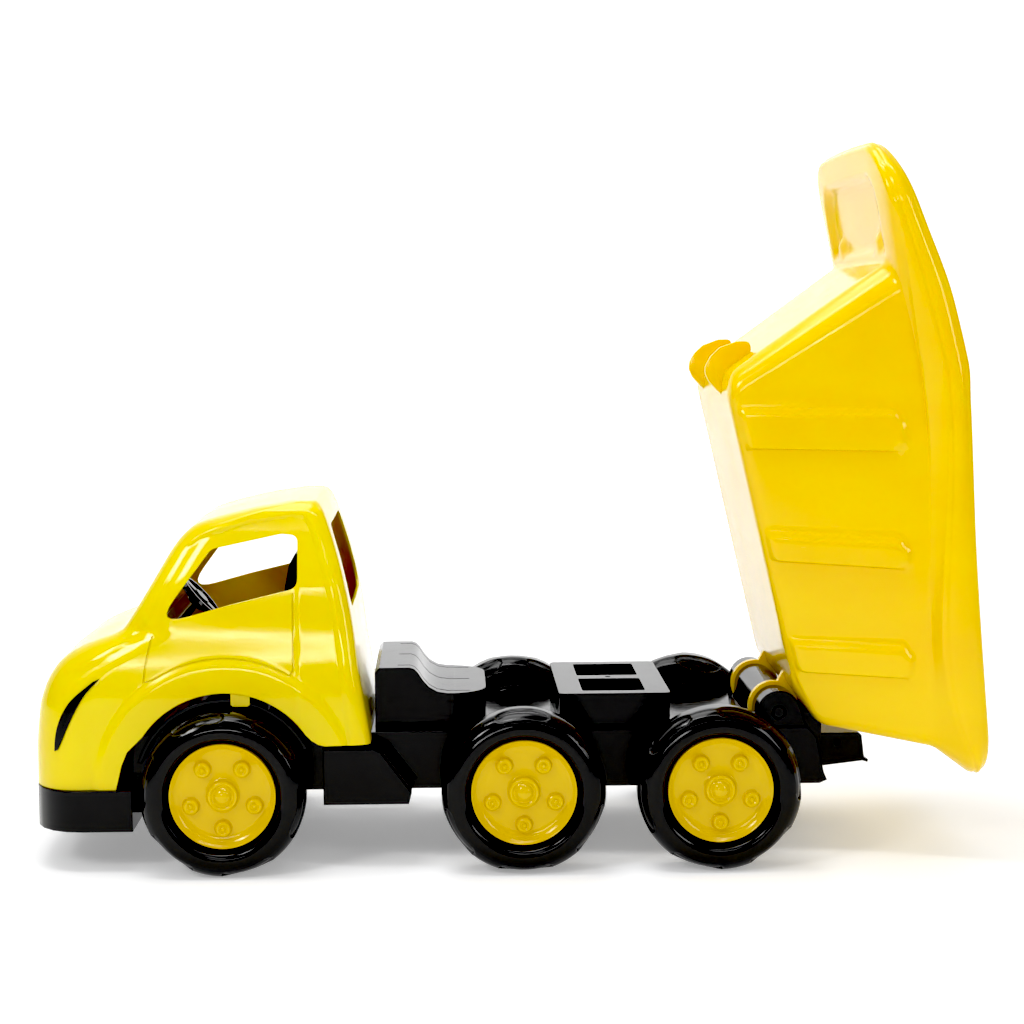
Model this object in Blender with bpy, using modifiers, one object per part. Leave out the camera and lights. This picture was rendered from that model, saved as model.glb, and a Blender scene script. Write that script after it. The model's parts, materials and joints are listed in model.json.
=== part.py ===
"""Toy dump truck: cab, chassis, six rolling wheels and a tipping bed that starts fully raised.

Lengths are written in millimetres and turned into metres with MM. The truck points toward -X, its left
side is -Y, and it stands on Z = 0. Drawing coordinates put X = 0 on the middle axle; FRAME_SHIFT moves them
so that the origin lies under the centre of the whole truck.
"""

import math

import bmesh
import bpy
from mathutils import Matrix, Vector

MM = 0.001
GAP = 0.3

FRAME_SHIFT = 9.5

# wheels
WHEEL_RADIUS = 73.0
WHEEL_WIDTH = 44.0
WHEEL_OUTER_Y = 160.0
FRONT_AXLE_X = -265.0
MIDDLE_AXLE_X = 0.0
REAR_AXLE_X = 174.0
AXLE_RADIUS = 4.0
AXLE_HALF_LENGTH = 150.0
SIDEWALL_RADIUS = 69.5
CREST_RADIUS = 59.0
DISH_RADIUS = 50.5
WEB_OUTER_DEPTH = 14.0
WEB_INNER_DEPTH = 27.0
WHEEL_HUB_RADIUS = 13.0
CORE_INNER_RADIUS = 53.0
CORE_OUTER_RADIUS = 66.5
CORE_DEPTH = 10.0
TREAD_LUGS = 9
TREAD_GROOVE_DEPTH = 3.2
TAB_RADIUS = 38.0
TAB_WIDTH = 11.0
TAB_THICKNESS = 3.0
TAB_COUNT = 4

# hub caps
HUB_CAP_RADIUS = 47.0
HUB_CAP_FACE_DEPTH = 10.5
LUG_CIRCLE = 29.3
LUG_RADIUS = 6.4
LUG_COUNT = 5

# hinge of the bed
PIVOT_X = 235.0
PIVOT_Z = 130.0
SADDLE_RADIUS = 20.0
SADDLE_HALF_WIDTH = 92.0
ARM_RADIUS = 23.2
ARM_THICKNESS = 8.0
ARM_Y = 57.0
PIN_RADIUS = 3.0
RAISED_ANGLE = 77.0

# chassis
BODY_HALF_WIDTH = 96.0
BODY_BOTTOM = 65.0
BODY_TOP = 117.0
DECK_TOP = 148.0
DECK_HALF_WIDTH = 84.0
DECK_FRONT = 38.0
DECK_REAR = 134.0
HUMP_TOP = 172.0
HUMP_HALF_WIDTH = 75.0
HUMP_FRONT = -134.0
HUMP_REAR = -31.0
BUMPER_HALF_WIDTH = 131.0
BUMPER_FRONT = -441.0
BUMPER_BOTTOM = 37.0
BUMPER_TOP = 73.7
LINER_RADIUS = 77.5
LINER_THICKNESS = 4.0
LINER_OUTER_Y = 124.0
STEP_INNER_Y = 90.0
STEP_OUTER_Y = 127.0
TONGUE_HALF_WIDTH = 30.0
WALL = 4.0
BOSS_RADIUS = 10.0
BOSS_END_Y = 116.4

# cab
CAB_WALL = 3.0
CAB_REAR_BOTTOM = 112.0
ARCH_RADIUS = 87.0

# bed
BED_WALL = 3.0
BED_FLOOR = 146.0
FLOOR_HALF_WIDTH = 118.0
WALL_TOP_HALF_WIDTH = 142.0
RIM_HALF_WIDTH = 157.5
BED_SLANT = 0.235
BED_CORNER_STEPS = 4
RIB_HEIGHT = 2.6
FOOT_Y = 61.0
FOOT_THICKNESS = 5.0

YELLOW_CAB = (0.93, 0.72, 0.012)
YELLOW_BED = (0.95, 0.66, 0.010)
YELLOW_CAP = (0.86, 0.62, 0.012)
BLACK = (0.012, 0.012, 0.013)
STEEL = (0.62, 0.62, 0.64)


def clear_scene():
    for obj in list(bpy.data.objects):
        bpy.data.objects.remove(obj, do_unlink=True)
    for collection in list(bpy.data.collections):
        bpy.data.collections.remove(collection)


clear_scene()
TRUCK = bpy.data.collections.new("toy_dump_truck")
CUTTERS = bpy.data.collections.new("cutters")
bpy.context.scene.collection.children.link(TRUCK)
bpy.context.scene.collection.children.link(CUTTERS)


def material(name, color, roughness, metallic=0.0):
    made = bpy.data.materials.new(name)
    made.use_nodes = True
    shader = made.node_tree.nodes["Principled BSDF"]
    shader.inputs["Base Color"].default_value = (*color, 1.0)
    shader.inputs["Roughness"].default_value = roughness
    shader.inputs["Metallic"].default_value = metallic
    return made


def blank_object(name, collection):
    """An empty mesh object at the drawing origin of the truck."""
    obj = bpy.data.objects.new(name, bpy.data.meshes.new(name))
    obj.location = (FRAME_SHIFT * MM, 0.0, 0.0)
    collection.objects.link(obj)
    if collection is CUTTERS:
        obj.hide_render = True
        obj.display_type = "WIRE"
    return obj


def shade(obj, angle=35.0):
    for face in obj.data.polygons:
        face.use_smooth = True
    obj.data.set_sharp_from_angle(angle=math.radians(angle))


def finish(obj, skin, smooth_angle=35.0):
    obj.data.materials.clear()
    obj.data.materials.append(skin)
    shade(obj, smooth_angle)


def bake(obj):
    """Replaces the object's mesh with its evaluated one and drops its modifiers."""
    graph = bpy.context.evaluated_depsgraph_get()
    solid = bpy.data.meshes.new_from_object(obj.evaluated_get(graph))
    obj.modifiers.clear()
    obj.data = solid
    return obj


def weld(mesh, distance=0.01 * MM):
    cage = bmesh.new()
    cage.from_mesh(mesh)
    bmesh.ops.remove_doubles(cage, verts=cage.verts, dist=distance)
    bmesh.ops.recalc_face_normals(cage, faces=cage.faces)
    cage.to_mesh(mesh)
    cage.free()


AXIS_TURNS = {
    "Y": Matrix.Rotation(math.radians(90.0), 4, "X"),
    "X": Matrix(((0, 0, 1, 0), (1, 0, 0, 0), (0, 1, 0, 0), (0, 0, 0, 1))),
    "Z": Matrix.Identity(4),
}


def plate(name, outline, axis, low, high, collection=None):
    """A flat outline given thickness. Along Y the outline holds (x, z), along X (y, z), along Z (x, y)."""
    curve = bpy.data.curves.new(name, "CURVE")
    curve.dimensions = "2D"
    curve.fill_mode = "BOTH"
    curve.extrude = (high - low) / 2.0 * MM
    spline = curve.splines.new("POLY")
    spline.points.add(len(outline) - 1)
    for point, (across, up) in zip(spline.points, outline):
        point.co = (across * MM, up * MM, 0.0, 1.0)
    spline.use_cyclic_u = True
    guide = bpy.data.objects.new(name + "_outline", curve)
    CUTTERS.objects.link(guide)
    graph = bpy.context.evaluated_depsgraph_get()
    solid = bpy.data.meshes.new_from_object(guide.evaluated_get(graph))
    bpy.data.objects.remove(guide, do_unlink=True)
    middle = (low + high) / 2.0 * MM
    shift = {"X": (middle, 0, 0), "Y": (0, middle, 0), "Z": (0, 0, middle)}[axis]
    solid.transform(Matrix.Translation(shift) @ AXIS_TURNS[axis])
    weld(solid)
    obj = blank_object(name, collection or CUTTERS)
    obj.data = solid
    return obj


def box(name, low, high, collection=None):
    outline = [(low[0], low[1]), (high[0], low[1]), (high[0], high[1]), (low[0], high[1])]
    return plate(name, outline, "Z", low[2], high[2], collection)


def arc(centre, radius, start, end, steps):
    """Points of a circular arc, angles in degrees from the first axis."""
    points = []
    for step in range(steps + 1):
        angle = math.radians(start + (end - start) * step / steps)
        points.append((centre[0] + radius * math.cos(angle), centre[1] + radius * math.sin(angle)))
    return points


def disc(centre, radius, steps=24):
    return arc(centre, radius, 0.0, 360.0, steps)[:-1]


def rounded(outline, radius, steps=3):
    """The outline with every corner rounded, the radius held to a part of the shorter side."""
    points = []
    count = len(outline)
    for index in range(count):
        corner = Vector(outline[index])
        before = Vector(outline[index - 1]) - corner
        after = Vector(outline[(index + 1) % count]) - corner
        half = before.angle(after) / 2.0
        reach = min(radius / math.tan(half), before.length * 0.45, after.length * 0.45)
        if reach < 0.05:
            points.append(tuple(corner))
            continue
        first = corner + before.normalized() * reach
        last = corner + after.normalized() * reach
        for step in range(steps + 1):
            t = step / steps
            place = first * (1 - t) ** 2 + corner * 2 * t * (1 - t) + last * t**2
            points.append(tuple(place))
    return points


def turned(name, profile, steps, collection):
    """A closed profile of (radius, height) turned round Z with a Screw modifier."""
    obj = blank_object(name, collection)
    verts = [(radius * MM, 0.0, height * MM) for radius, height in profile]
    edges = []
    for index in range(len(profile)):
        after = (index + 1) % len(profile)
        if profile[index][0] > 0.0 or profile[after][0] > 0.0:
            edges.append((index, after))
    obj.data.from_pydata(verts, edges, [])
    screw = obj.modifiers.new("turn", "SCREW")
    screw.steps = steps
    screw.render_steps = steps
    screw.use_merge_vertices = True
    screw.merge_threshold = 0.00001
    screw.use_normal_calculate = True
    bake(obj)
    weld(obj.data)
    return obj


def combine(obj, tool, operation):
    """Adds an exact Boolean and keeps the tool beside the part it shapes."""
    tool.location = obj.location
    tool.rotation_euler = obj.rotation_euler
    step = obj.modifiers.new(tool.name, "BOOLEAN")
    step.solver = "EXACT"
    step.operation = operation
    step.object = tool
    return step


def add(obj, *tools):
    for tool in tools:
        combine(obj, tool, "UNION")


def cut(obj, *tools):
    for tool in tools:
        combine(obj, tool, "DIFFERENCE")


def lookup(points, value):
    """Straight-line reading of a short list of (value, result) pairs."""
    if value <= points[0][0]:
        return points[0][1]
    for (left, low), (right, high) in zip(points, points[1:]):
        if value <= right:
            return low + (high - low) * (value - left) / (right - left)
    return points[-1][1]


def skin_from_rings(name, rings, close_first, close_last, collection):
    """A half surface from rings of (x, y, z) that start and end on Y = 0, mirrored to the other side."""
    obj = blank_object(name, collection)
    verts = [(x * MM, y * MM, z * MM) for ring in rings for x, y, z in ring]
    width = len(rings[0])
    faces = []
    for level in range(len(rings) - 1):
        for column in range(width - 1):
            corner = level * width + column
            faces.append((corner, corner + 1, corner + width + 1, corner + width))
    if close_first:
        faces.append(tuple(range(width)))
    if close_last:
        start = (len(rings) - 1) * width
        faces.append(tuple(range(start, start + width)))
    obj.data.from_pydata(verts, [], faces)
    mirror = obj.modifiers.new("mirror", "MIRROR")
    mirror.use_axis = (False, True, False)
    mirror.use_clip = True
    mirror.merge_threshold = 0.00005
    bake(obj)
    weld(obj.data)
    return obj


def thicken(obj, wall):
    shell = obj.modifiers.new("wall", "SOLIDIFY")
    shell.thickness = wall * MM
    shell.offset = -1.0
    shell.use_even_offset = True
    shell.use_quality_normals = True
    bake(obj)
    weld(obj.data)


# ---------------------------------------------------------------- chassis


def top_profile():
    """The line of the hump behind the cab as it falls in a soft S to the deck."""
    return [
        (HUMP_FRONT + 5.0, HUMP_TOP),
        (-101.0, HUMP_TOP),
        (-97.0, 170.6),
        (-93.5, 167.0),
        (-89.0, 160.0),
        (-83.5, 153.8),
        (-76.0, 149.5),
        (-67.0, DECK_TOP),
    ]


def make_chassis(skin):
    body_line = [
        (-352.0, 46.0),
        (-338.0, 46.0),
        (-322.0, 60.0),
        (-306.0, BODY_BOTTOM),
        (272.0, BODY_BOTTOM),
        (279.0, 68.0),
        (276.0, 75.0),
        (269.0, 108.0),
        (261.0, BODY_TOP),
        (-352.0, BODY_TOP),
    ]
    chassis = plate("chassis", body_line, "Y", -BODY_HALF_WIDTH, BODY_HALF_WIDTH, TRUCK)

    hump_line = [(HUMP_FRONT + 1.0, BODY_TOP - 3.0), (HUMP_FRONT + 1.0, HUMP_TOP - 4.0)]
    hump_line += top_profile()
    hump_line += [(-60.0, DECK_TOP), (-60.0, BODY_TOP - 3.0)]
    hump = plate("hump", hump_line, "Y", -HUMP_HALF_WIDTH, HUMP_HALF_WIDTH)
    nose_line = [(-72.0, -HUMP_HALF_WIDTH + 0.4), (-72.0, HUMP_HALF_WIDTH - 0.4)]
    nose_line += arc((HUMP_REAR - 34.0, HUMP_HALF_WIDTH - 34.4), 34.0, 90.0, 0.0, 6)
    nose_line += arc((HUMP_REAR - 34.0, 34.4 - HUMP_HALF_WIDTH), 34.0, 0.0, -90.0, 6)
    hump_nose = plate("hump_nose", nose_line, "Z", BODY_TOP - 2.0, DECK_TOP - 0.2)

    deck_line = rounded(
        [
            (DECK_FRONT - 3.0, -DECK_HALF_WIDTH),
            (DECK_REAR + 3.0, -DECK_HALF_WIDTH),
            (DECK_REAR + 3.0, DECK_HALF_WIDTH),
            (DECK_FRONT - 3.0, DECK_HALF_WIDTH),
        ],
        6.0,
    )
    deck = plate("deck", deck_line, "Z", BODY_TOP - 2.5, DECK_TOP)

    saddle_line = [(213.5, BODY_TOP - 2.0)]
    saddle_line += arc((PIVOT_X, PIVOT_Z), SADDLE_RADIUS, 180.0, 18.0, 12)
    saddle_line += [(259.5, 119.5), (265.0, BODY_TOP - 6.0)]
    saddle = plate("saddle", saddle_line, "Y", -SADDLE_HALF_WIDTH, SADDLE_HALF_WIDTH)

    stop_line = [(262.0, 108.0), (265.5, 122.1), (283.0, 120.0), (283.0, 96.0), (270.0, 90.0)]
    tip_stop = plate("tip_stop", stop_line, "Y", -44.0, 44.0)

    tongue_line = [
        (262.0, 66.0),
        (286.0, 66.0),
        (325.0, 70.5),
        (330.0, 69.0),
        (330.5, 71.5),
        (326.5, 74.0),
        (324.0, 95.0),
        (321.0, 97.5),
        (262.0, 97.5),
    ]
    tongue = plate("tow_tongue", tongue_line, "Y", -TONGUE_HALF_WIDTH, TONGUE_HALF_WIDTH)

    bumper_line = [(-347.0, -BUMPER_HALF_WIDTH), (-347.0, BUMPER_HALF_WIDTH)]
    bumper_line += bumper_corner(1.0)
    bumper_line += bumper_corner(-1.0)
    bumper = plate("bumper", bumper_line, "Z", BUMPER_BOTTOM, BUMPER_TOP)

    engine = plate(
        "engine_block",
        [(-346.0, 90.0)] + arc((FRONT_AXLE_X, WHEEL_RADIUS), 80.0, 168.0, 20.0, 14) + [(-189.0, 90.0)],
        "Y",
        -BODY_HALF_WIDTH + 0.5,
        BODY_HALF_WIDTH - 0.5,
    )
    add(chassis, hump, hump_nose, deck, saddle, tip_stop, tongue, bumper, engine)
    add(chassis, *axle_bosses())

    for side, label in ((-1.0, "left"), (1.0, "right")):
        add(chassis, *side_pieces(side, label))

    cut(chassis, *groove_cutters())
    cut(chassis, *opening_cutters())
    cut(chassis, *underside_pockets())
    cut(chassis, *hinge_cutters())
    cut(chassis, *axle_bores())
    cut(chassis, *screw_pilots())
    finish(chassis, skin)
    return chassis


def bumper_corner(side):
    """The plan of one rounded front corner, from the side to the middle or back."""
    corner = []
    steps = 5
    for step in range(steps + 1):
        angle = math.radians(90.0 * step / steps)
        x = -392.0 - 46.0 * math.sin(angle)
        y = side * (BUMPER_HALF_WIDTH - 48.0 + 48.0 * math.cos(angle))
        corner.append((x, y))
    corner.append((BUMPER_FRONT, side * 40.0))
    return corner if side > 0 else corner[::-1]


def side_pieces(side, label):
    """Wheel-arch liner and cab step of one side."""
    ends = sorted((side * (BODY_HALF_WIDTH - 2.0), side * LINER_OUTER_Y))
    outer = arc((FRONT_AXLE_X, WHEEL_RADIUS), LINER_RADIUS + LINER_THICKNESS, 162.0, 26.0, 16)
    inner = arc((FRONT_AXLE_X, WHEEL_RADIUS), LINER_RADIUS, 26.0, 162.0, 16)
    liner = plate("arch_liner_" + label, outer + inner, "Y", *ends)

    step_ends = sorted((side * STEP_INNER_Y, side * STEP_OUTER_Y))
    step_line = [
        (-178.0, 58.0), (-102.0, 58.0), (-99.5, 68.0), (-127.0, 105.0), (-133.0, 108.0),
        (-178.0, 108.0),
    ]
    step = plate("cab_step_" + label, step_line, "Y", *step_ends)
    pieces = [liner, step]
    for index, offset in enumerate((2.2, 4.6, 7.0)):
        along = Vector((27.5, -37.0)).normalized()
        out = Vector((37.0, 27.5)).normalized()
        start = Vector((-127.0, 105.0)) + along * 3.0
        end = Vector((-99.5, 68.0)) - along * 3.0
        corners = [start - out * 3.0, start + out * offset, end + out * offset, end - out * 3.0]
        outline = [tuple(corner) for corner in corners]
        middle = STEP_OUTER_Y - 5.0 - index * 12.5
        rib_ends = sorted((side * (middle - 2.2), side * (middle + 2.2)))
        pieces.append(plate("step_tread_%s_%d" % (label, index + 1), outline, "Y", *rib_ends))
    return pieces


def groove_cutters():
    """Three narrow grooves that run back over the hump and onto the deck."""
    cutters = []
    line = [(-112.0, HUMP_TOP)] + top_profile()[1:] + [(-46.0, DECK_TOP)]
    low = [(x - 0.6, z - 1.4) for x, z in line]
    high = [(x + 2.0, z + 4.0) for x, z in line]
    for index, y in enumerate((-FOOT_Y, 0.0, FOOT_Y)):
        cutters.append(plate("hump_groove_%d" % (index + 1), low + high[::-1], "Y", y - 1.0, y + 1.0))
    return cutters


def opening_cutters():
    """Two rectangular openings in the deck with a hole in the bar between them."""
    cutters = []
    for side, label in ((-1.0, "left"), (1.0, "right")):
        ends = sorted((side * 9.0, side * 70.0))
        outline = rounded([(57.0, ends[0]), (115.0, ends[0]), (115.0, ends[1]), (57.0, ends[1])], 3.0)
        cutters.append(plate("deck_opening_" + label, outline, "Z", BODY_BOTTOM + WALL, DECK_TOP + 3.0))
    cutters.append(plate("deck_bar_hole", disc((86.0, 0.0), 2.6, 12), "Z", DECK_TOP - 8.0, DECK_TOP + 3.0))
    return cutters


def underside_pockets():
    """Cores moulded up into the chassis from below, with ribs left between them."""
    cells = [
        (-334.0, -304.0, 109.0),
        (-300.0, -277.0, 137.0),
        (-253.0, -230.0, 137.0),
        (-226.0, -198.0, 109.0),
        (-192.0, -140.0, BODY_TOP - WALL),
        (-128.0, -104.0, HUMP_TOP - WALL - 1.0),
        (-100.0, -84.0, DECK_TOP - WALL),
        (-80.0, -56.0, DECK_TOP - WALL - 2.0),
        (-51.0, -14.0, BODY_TOP - WALL),
        (13.0, 32.0, BODY_TOP - WALL),
        (39.0, 53.0, DECK_TOP - WALL),
        (119.0, 133.0, DECK_TOP - WALL),
        (141.0, 161.0, BODY_TOP - WALL),
        (187.0, 209.0, BODY_TOP - WALL),
        (213.0, 266.0, 102.0),
    ]
    cutters = []
    for side, label in ((-1.0, "left"), (1.0, "right")):
        for index, (front, rear, top) in enumerate(cells):
            deep = front > HUMP_FRONT and top > BODY_TOP
            ends = sorted((side * 3.0, side * (71.0 if deep else 92.0)))
            name = "pocket_%s_%d" % (label, index + 1)
            cutters.append(box(name, (front, ends[0], 40.0), (rear, ends[1], top)))
        ends = sorted((side * 98.0, side * (STEP_OUTER_Y - WALL)))
        cutters.append(box("step_pocket_" + label, (-171.0, ends[0], 50.0), (-134.0, ends[1], 103.0)))
        ends = sorted((side * 4.0, side * (BUMPER_HALF_WIDTH - 30.0)))
        cutters.append(box("bumper_pocket_" + label, (-425.0, ends[0], 30.0), (-360.0, ends[1], 69.0)))
    cutters.append(box("tongue_pocket", (284.0, -26.0, 60.0), (320.0, 26.0, 93.0)))
    return cutters


def hinge_cutters():
    """Room for the two hinge arms of the bed, and the bore of the hinge pin with its plugged ends."""
    cutters = []
    for side, label in ((-1.0, "left"), (1.0, "right")):
        reach = ARM_THICKNESS / 2 + 0.5
        low, high = sorted((side * (ARM_Y - reach), side * (ARM_Y + reach)))
        room = disc((PIVOT_X, PIVOT_Z), ARM_RADIUS + 1.2, 20)
        cutters.append(plate("arm_slot_" + label, room, "Y", low, high))
        low, high = sorted((side * (SADDLE_HALF_WIDTH - 4.0), side * (SADDLE_HALF_WIDTH + 3.0)))
        cutters.append(plate("plug_seat_" + label, disc((PIVOT_X, PIVOT_Z), 6.0, 16), "Y", low, high))
    bore = disc((PIVOT_X, PIVOT_Z), PIN_RADIUS + GAP, 14)
    cutters.append(plate("pin_bore", bore, "Y", -100.0, 100.0))
    for side, label in ((-1.0, "left"), (1.0, "right")):
        low, high = sorted((side * (TONGUE_HALF_WIDTH - 3.0), side * (TONGUE_HALF_WIDTH + 3.0)))
        cutters.append(plate("tow_eye_" + label, disc((301.0, 88.5), 2.4, 12), "Y", low, high))
    return cutters


def axle_bosses():
    """Round spacers that stand out of the chassis and keep each wheel in its place on the axle."""
    bosses = []
    for index, x in enumerate((FRONT_AXLE_X, MIDDLE_AXLE_X, REAR_AXLE_X)):
        line = disc((x, WHEEL_RADIUS), BOSS_RADIUS, 16)
        bosses.append(plate("axle_boss_%d" % (index + 1), line, "Y", -BOSS_END_Y, BOSS_END_Y))
    return bosses


def axle_bores():
    bores = []
    for index, x in enumerate((FRONT_AXLE_X, MIDDLE_AXLE_X, REAR_AXLE_X)):
        line = disc((x, WHEEL_RADIUS), AXLE_RADIUS + GAP, 16)
        bores.append(plate("axle_bore_%d" % (index + 1), line, "Y", -130.0, 130.0))
    return bores


SCREW_X = (-244.0, -286.0)
INSERT_FLOOR = 154.6


def screw_pilots():
    return [
        plate("screw_pilot_%d" % (index + 1), disc((x, 0.0), 1.8, 12), "Z", 134.0, 170.0)
        for index, x in enumerate(SCREW_X)
    ]


# ---------------------------------------------------------------- cab

CAB_LEVELS = (74.0, 104.0, 143.0, 165.0, 180.0, 191.0, 199.0, 207.0, 215.0, 236.0, 259.0)
CAB_LEVELS += (287.0, 299.0, 307.0, 313.0, 319.0, 324.0, 327.0)
CAB_FRONT = (
    (74.0, -438.0),
    (104.0, -437.5),
    (143.0, -434.0),
    (165.0, -427.0),
    (180.0, -418.0),
    (191.0, -407.0),
    (199.0, -394.0),
    (205.0, -378.0),
    (210.0, -364.0),
    (215.0, -356.0),
    (222.0, -351.0),
    (236.0, -342.0),
    (259.0, -328.0),
    (287.0, -311.0),
    (299.0, -301.0),
    (307.0, -290.0),
    (313.0, -272.0),
    (318.0, -252.0),
    (322.0, -234.0),
    (325.0, -214.0),
    (327.0, -204.0),
)
CAB_REAR = (
    (74.0, -131.0), (112.0, -135.5), (171.0, -145.0), (225.0, -152.0), (313.0, -175.0),
    (325.0, -182.0), (327.0, -186.0),
)
CAB_WIDTH = ((74.0, 129.0), (150.0, 129.0), (180.0, 126.0), (215.0, 120.0), (252.0, 116.0), (287.0, 107.0))
CAB_WIDTH += ((307.0, 101.0), (318.0, 96.0), (325.0, 87.0), (327.0, 78.0))
CAB_CORNER_X = (
    (74.0, 48.0), (165.0, 48.0), (199.0, 62.0), (210.0, 52.0), (236.0, 34.0), (299.0, 34.0),
    (327.0, 10.0),
)
CAB_CORNER_Y = ((74.0, 48.0), (165.0, 44.0), (199.0, 34.0), (215.0, 26.0), (287.0, 24.0), (327.0, 20.0))


def cab_ring(z, proud=0.0):
    front = lookup(CAB_FRONT, z) - proud
    rear = lookup(CAB_REAR, z) + proud
    width = lookup(CAB_WIDTH, z) + proud
    length = rear - front
    corner_x = min(lookup(CAB_CORNER_X, z), length * 0.42)
    corner_y = lookup(CAB_CORNER_Y, z)
    back_x = min(17.0, length * 0.3)
    back_y = 9.0
    ring = [(front - 2.0, 0.0, z), (front - 1.0, (width - corner_y) * 0.55, z)]
    steps = 5
    for step in range(steps + 1):
        angle = math.radians(90.0 * step / steps)
        x = front + corner_x * (1.0 - math.cos(angle))
        y = width - corner_y + corner_y * math.sin(angle)
        ring.append((x, y, z))
    start = front + corner_x
    end = rear - back_x
    for part in (0.33, 0.67):
        ring.append((start + (end - start) * part, width, z))
    for step in range(4):
        angle = math.radians(90.0 * step / 3)
        ring.append((end + back_x * math.sin(angle), width - back_y + back_y * math.cos(angle), z))
    ring.append((rear + 0.5, (width - back_y) * 0.5, z))
    ring.append((rear + 0.8, 0.0, z))
    return ring


def cab_form(name, proud, closed):
    rings = [cab_ring(z, proud) for z in CAB_LEVELS]
    if closed:
        rings[0] = [(x, y, z - 20.0) for x, y, z in rings[0]]
    if proud:
        rings[-1] = [(x, y, z + proud) for x, y, z in rings[-1]]
    return skin_from_rings(name, rings, closed, True, CUTTERS)


def arch_outline():
    """The wheel opening in the side of the cab, carried down past its lower edge and back under the cab."""
    outline = [(-366.0, 60.0), (-361.0, 76.0), (-352.0, 106.0)]
    outline += arc((FRONT_AXLE_X, WHEEL_RADIUS), ARCH_RADIUS, 133.0, 34.0, 16)
    outline += [
        (-184.0, 113.0), (-176.0, 111.5), (-150.0, CAB_REAR_BOTTOM), (-90.0, CAB_REAR_BOTTOM),
        (-90.0, 60.0),
    ]
    return outline


def make_cab(skin):
    cab = cab_form("cab_shell", 0.0, False)
    CUTTERS.objects.unlink(cab)
    TRUCK.objects.link(cab)
    cab.hide_render = False
    cab.display_type = "TEXTURED"
    thicken(cab, CAB_WALL)

    wheel_arch = plate("wheel_arch", arch_outline(), "Y", -220.0, 220.0)
    side_window = plate("side_window", side_window_outline(), "Y", -220.0, 220.0)
    screen_line = rounded([(-76.0, 228.0), (76.0, 228.0), (72.0, 293.0), (-72.0, 293.0)], 14.0)
    windscreen = plate("windscreen_opening", screen_line, "X", -430.0, -268.0)
    rear_line = rounded([(-84.0, 229.0), (84.0, 229.0), (70.0, 303.0), (-70.0, 303.0)], 14.0)
    rear_window = plate("rear_window", rear_line, "X", -214.0, -90.0)
    spine_notch = box("spine_notch", (-200.0, -98.0, 60.0), (-90.0, 98.0, BODY_TOP + GAP))
    cut(cab, wheel_arch, side_window, windscreen, rear_window, spine_notch)
    cut(cab, *door_grooves())
    for side, label in ((-1.0, "left"), (1.0, "right")):
        tab_line = [
            (-259.0, 165.0), (-259.0, 149.5), (-257.0, 147.6), (-244.0, 147.6),
            (-242.0, 149.5), (-242.0, 165.0),
        ]
        add(cab, plate("cab_clip_" + label, tab_line, "Y", *sorted((side * 124.4, side * 127.4))))
    finish(cab, skin)
    return cab


def side_window_outline():
    corners = [
        (-325.0, 219.5),
        (-262.0, 236.5),
        (-199.5, 251.5),
        (-199.5, 297.0),
        (-214.0, 298.5),
        (-276.0, 286.0),
    ]
    return rounded(corners, 9.0, 4)


def band(points, width):
    """A thin strip of even width along an open line."""
    left = []
    right = []
    for index, point in enumerate(points):
        before = Vector(points[max(index - 1, 0)])
        after = Vector(points[min(index + 1, len(points) - 1)])
        along = (after - before).normalized()
        out = Vector((-along.y, along.x)) * width / 2.0
        left.append(tuple(Vector(point) + out))
        right.append(tuple(Vector(point) - out))
    return left + right[::-1]


def door_line():
    """The gap round the door: down its front edge, over the wheel arch and up its rear edge."""
    line = [(-327.5, 213.0), (-334.0, 184.0), (-336.0, 168.0)]
    line += arc((FRONT_AXLE_X, WHEEL_RADIUS), 117.0, 124.0, 60.0, 10)
    line += [(-203.5, 178.0), (-203.5, 247.0)]
    return line


def door_grooves():
    """A shallow groove, the same depth everywhere below the skin of the cab."""
    core = cab_form("cab_core", -0.9, True)
    strip = plate("door_groove", band(door_line(), 1.5), "Y", -180.0, 180.0)
    combine(strip, core, "DIFFERENCE")
    return [strip]


def leaf_outline():
    """A slim curved leaf that runs down the rounded corner of the nose."""
    outer = [(-372.0, 172.0), (-390.0, 163.0), (-403.0, 148.0), (-412.0, 128.0), (-417.0, 104.0)]
    inner = [(-412.0, 112.0), (-404.0, 130.0), (-394.0, 145.0), (-383.0, 157.0)]
    return outer + inner


def make_leaf(name, side, skin):
    """A thin dark trim piece that follows the skin of the cab."""
    leaf = plate(name, leaf_outline(), "Y", *sorted((side * 60.0, side * 150.0)), TRUCK)
    outer = cab_form(name + "_outer", 1.3, True)
    inner = cab_form(name + "_inner", GAP, True)
    combine(leaf, outer, "INTERSECT")
    combine(leaf, inner, "DIFFERENCE")
    finish(leaf, skin)
    return leaf


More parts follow.
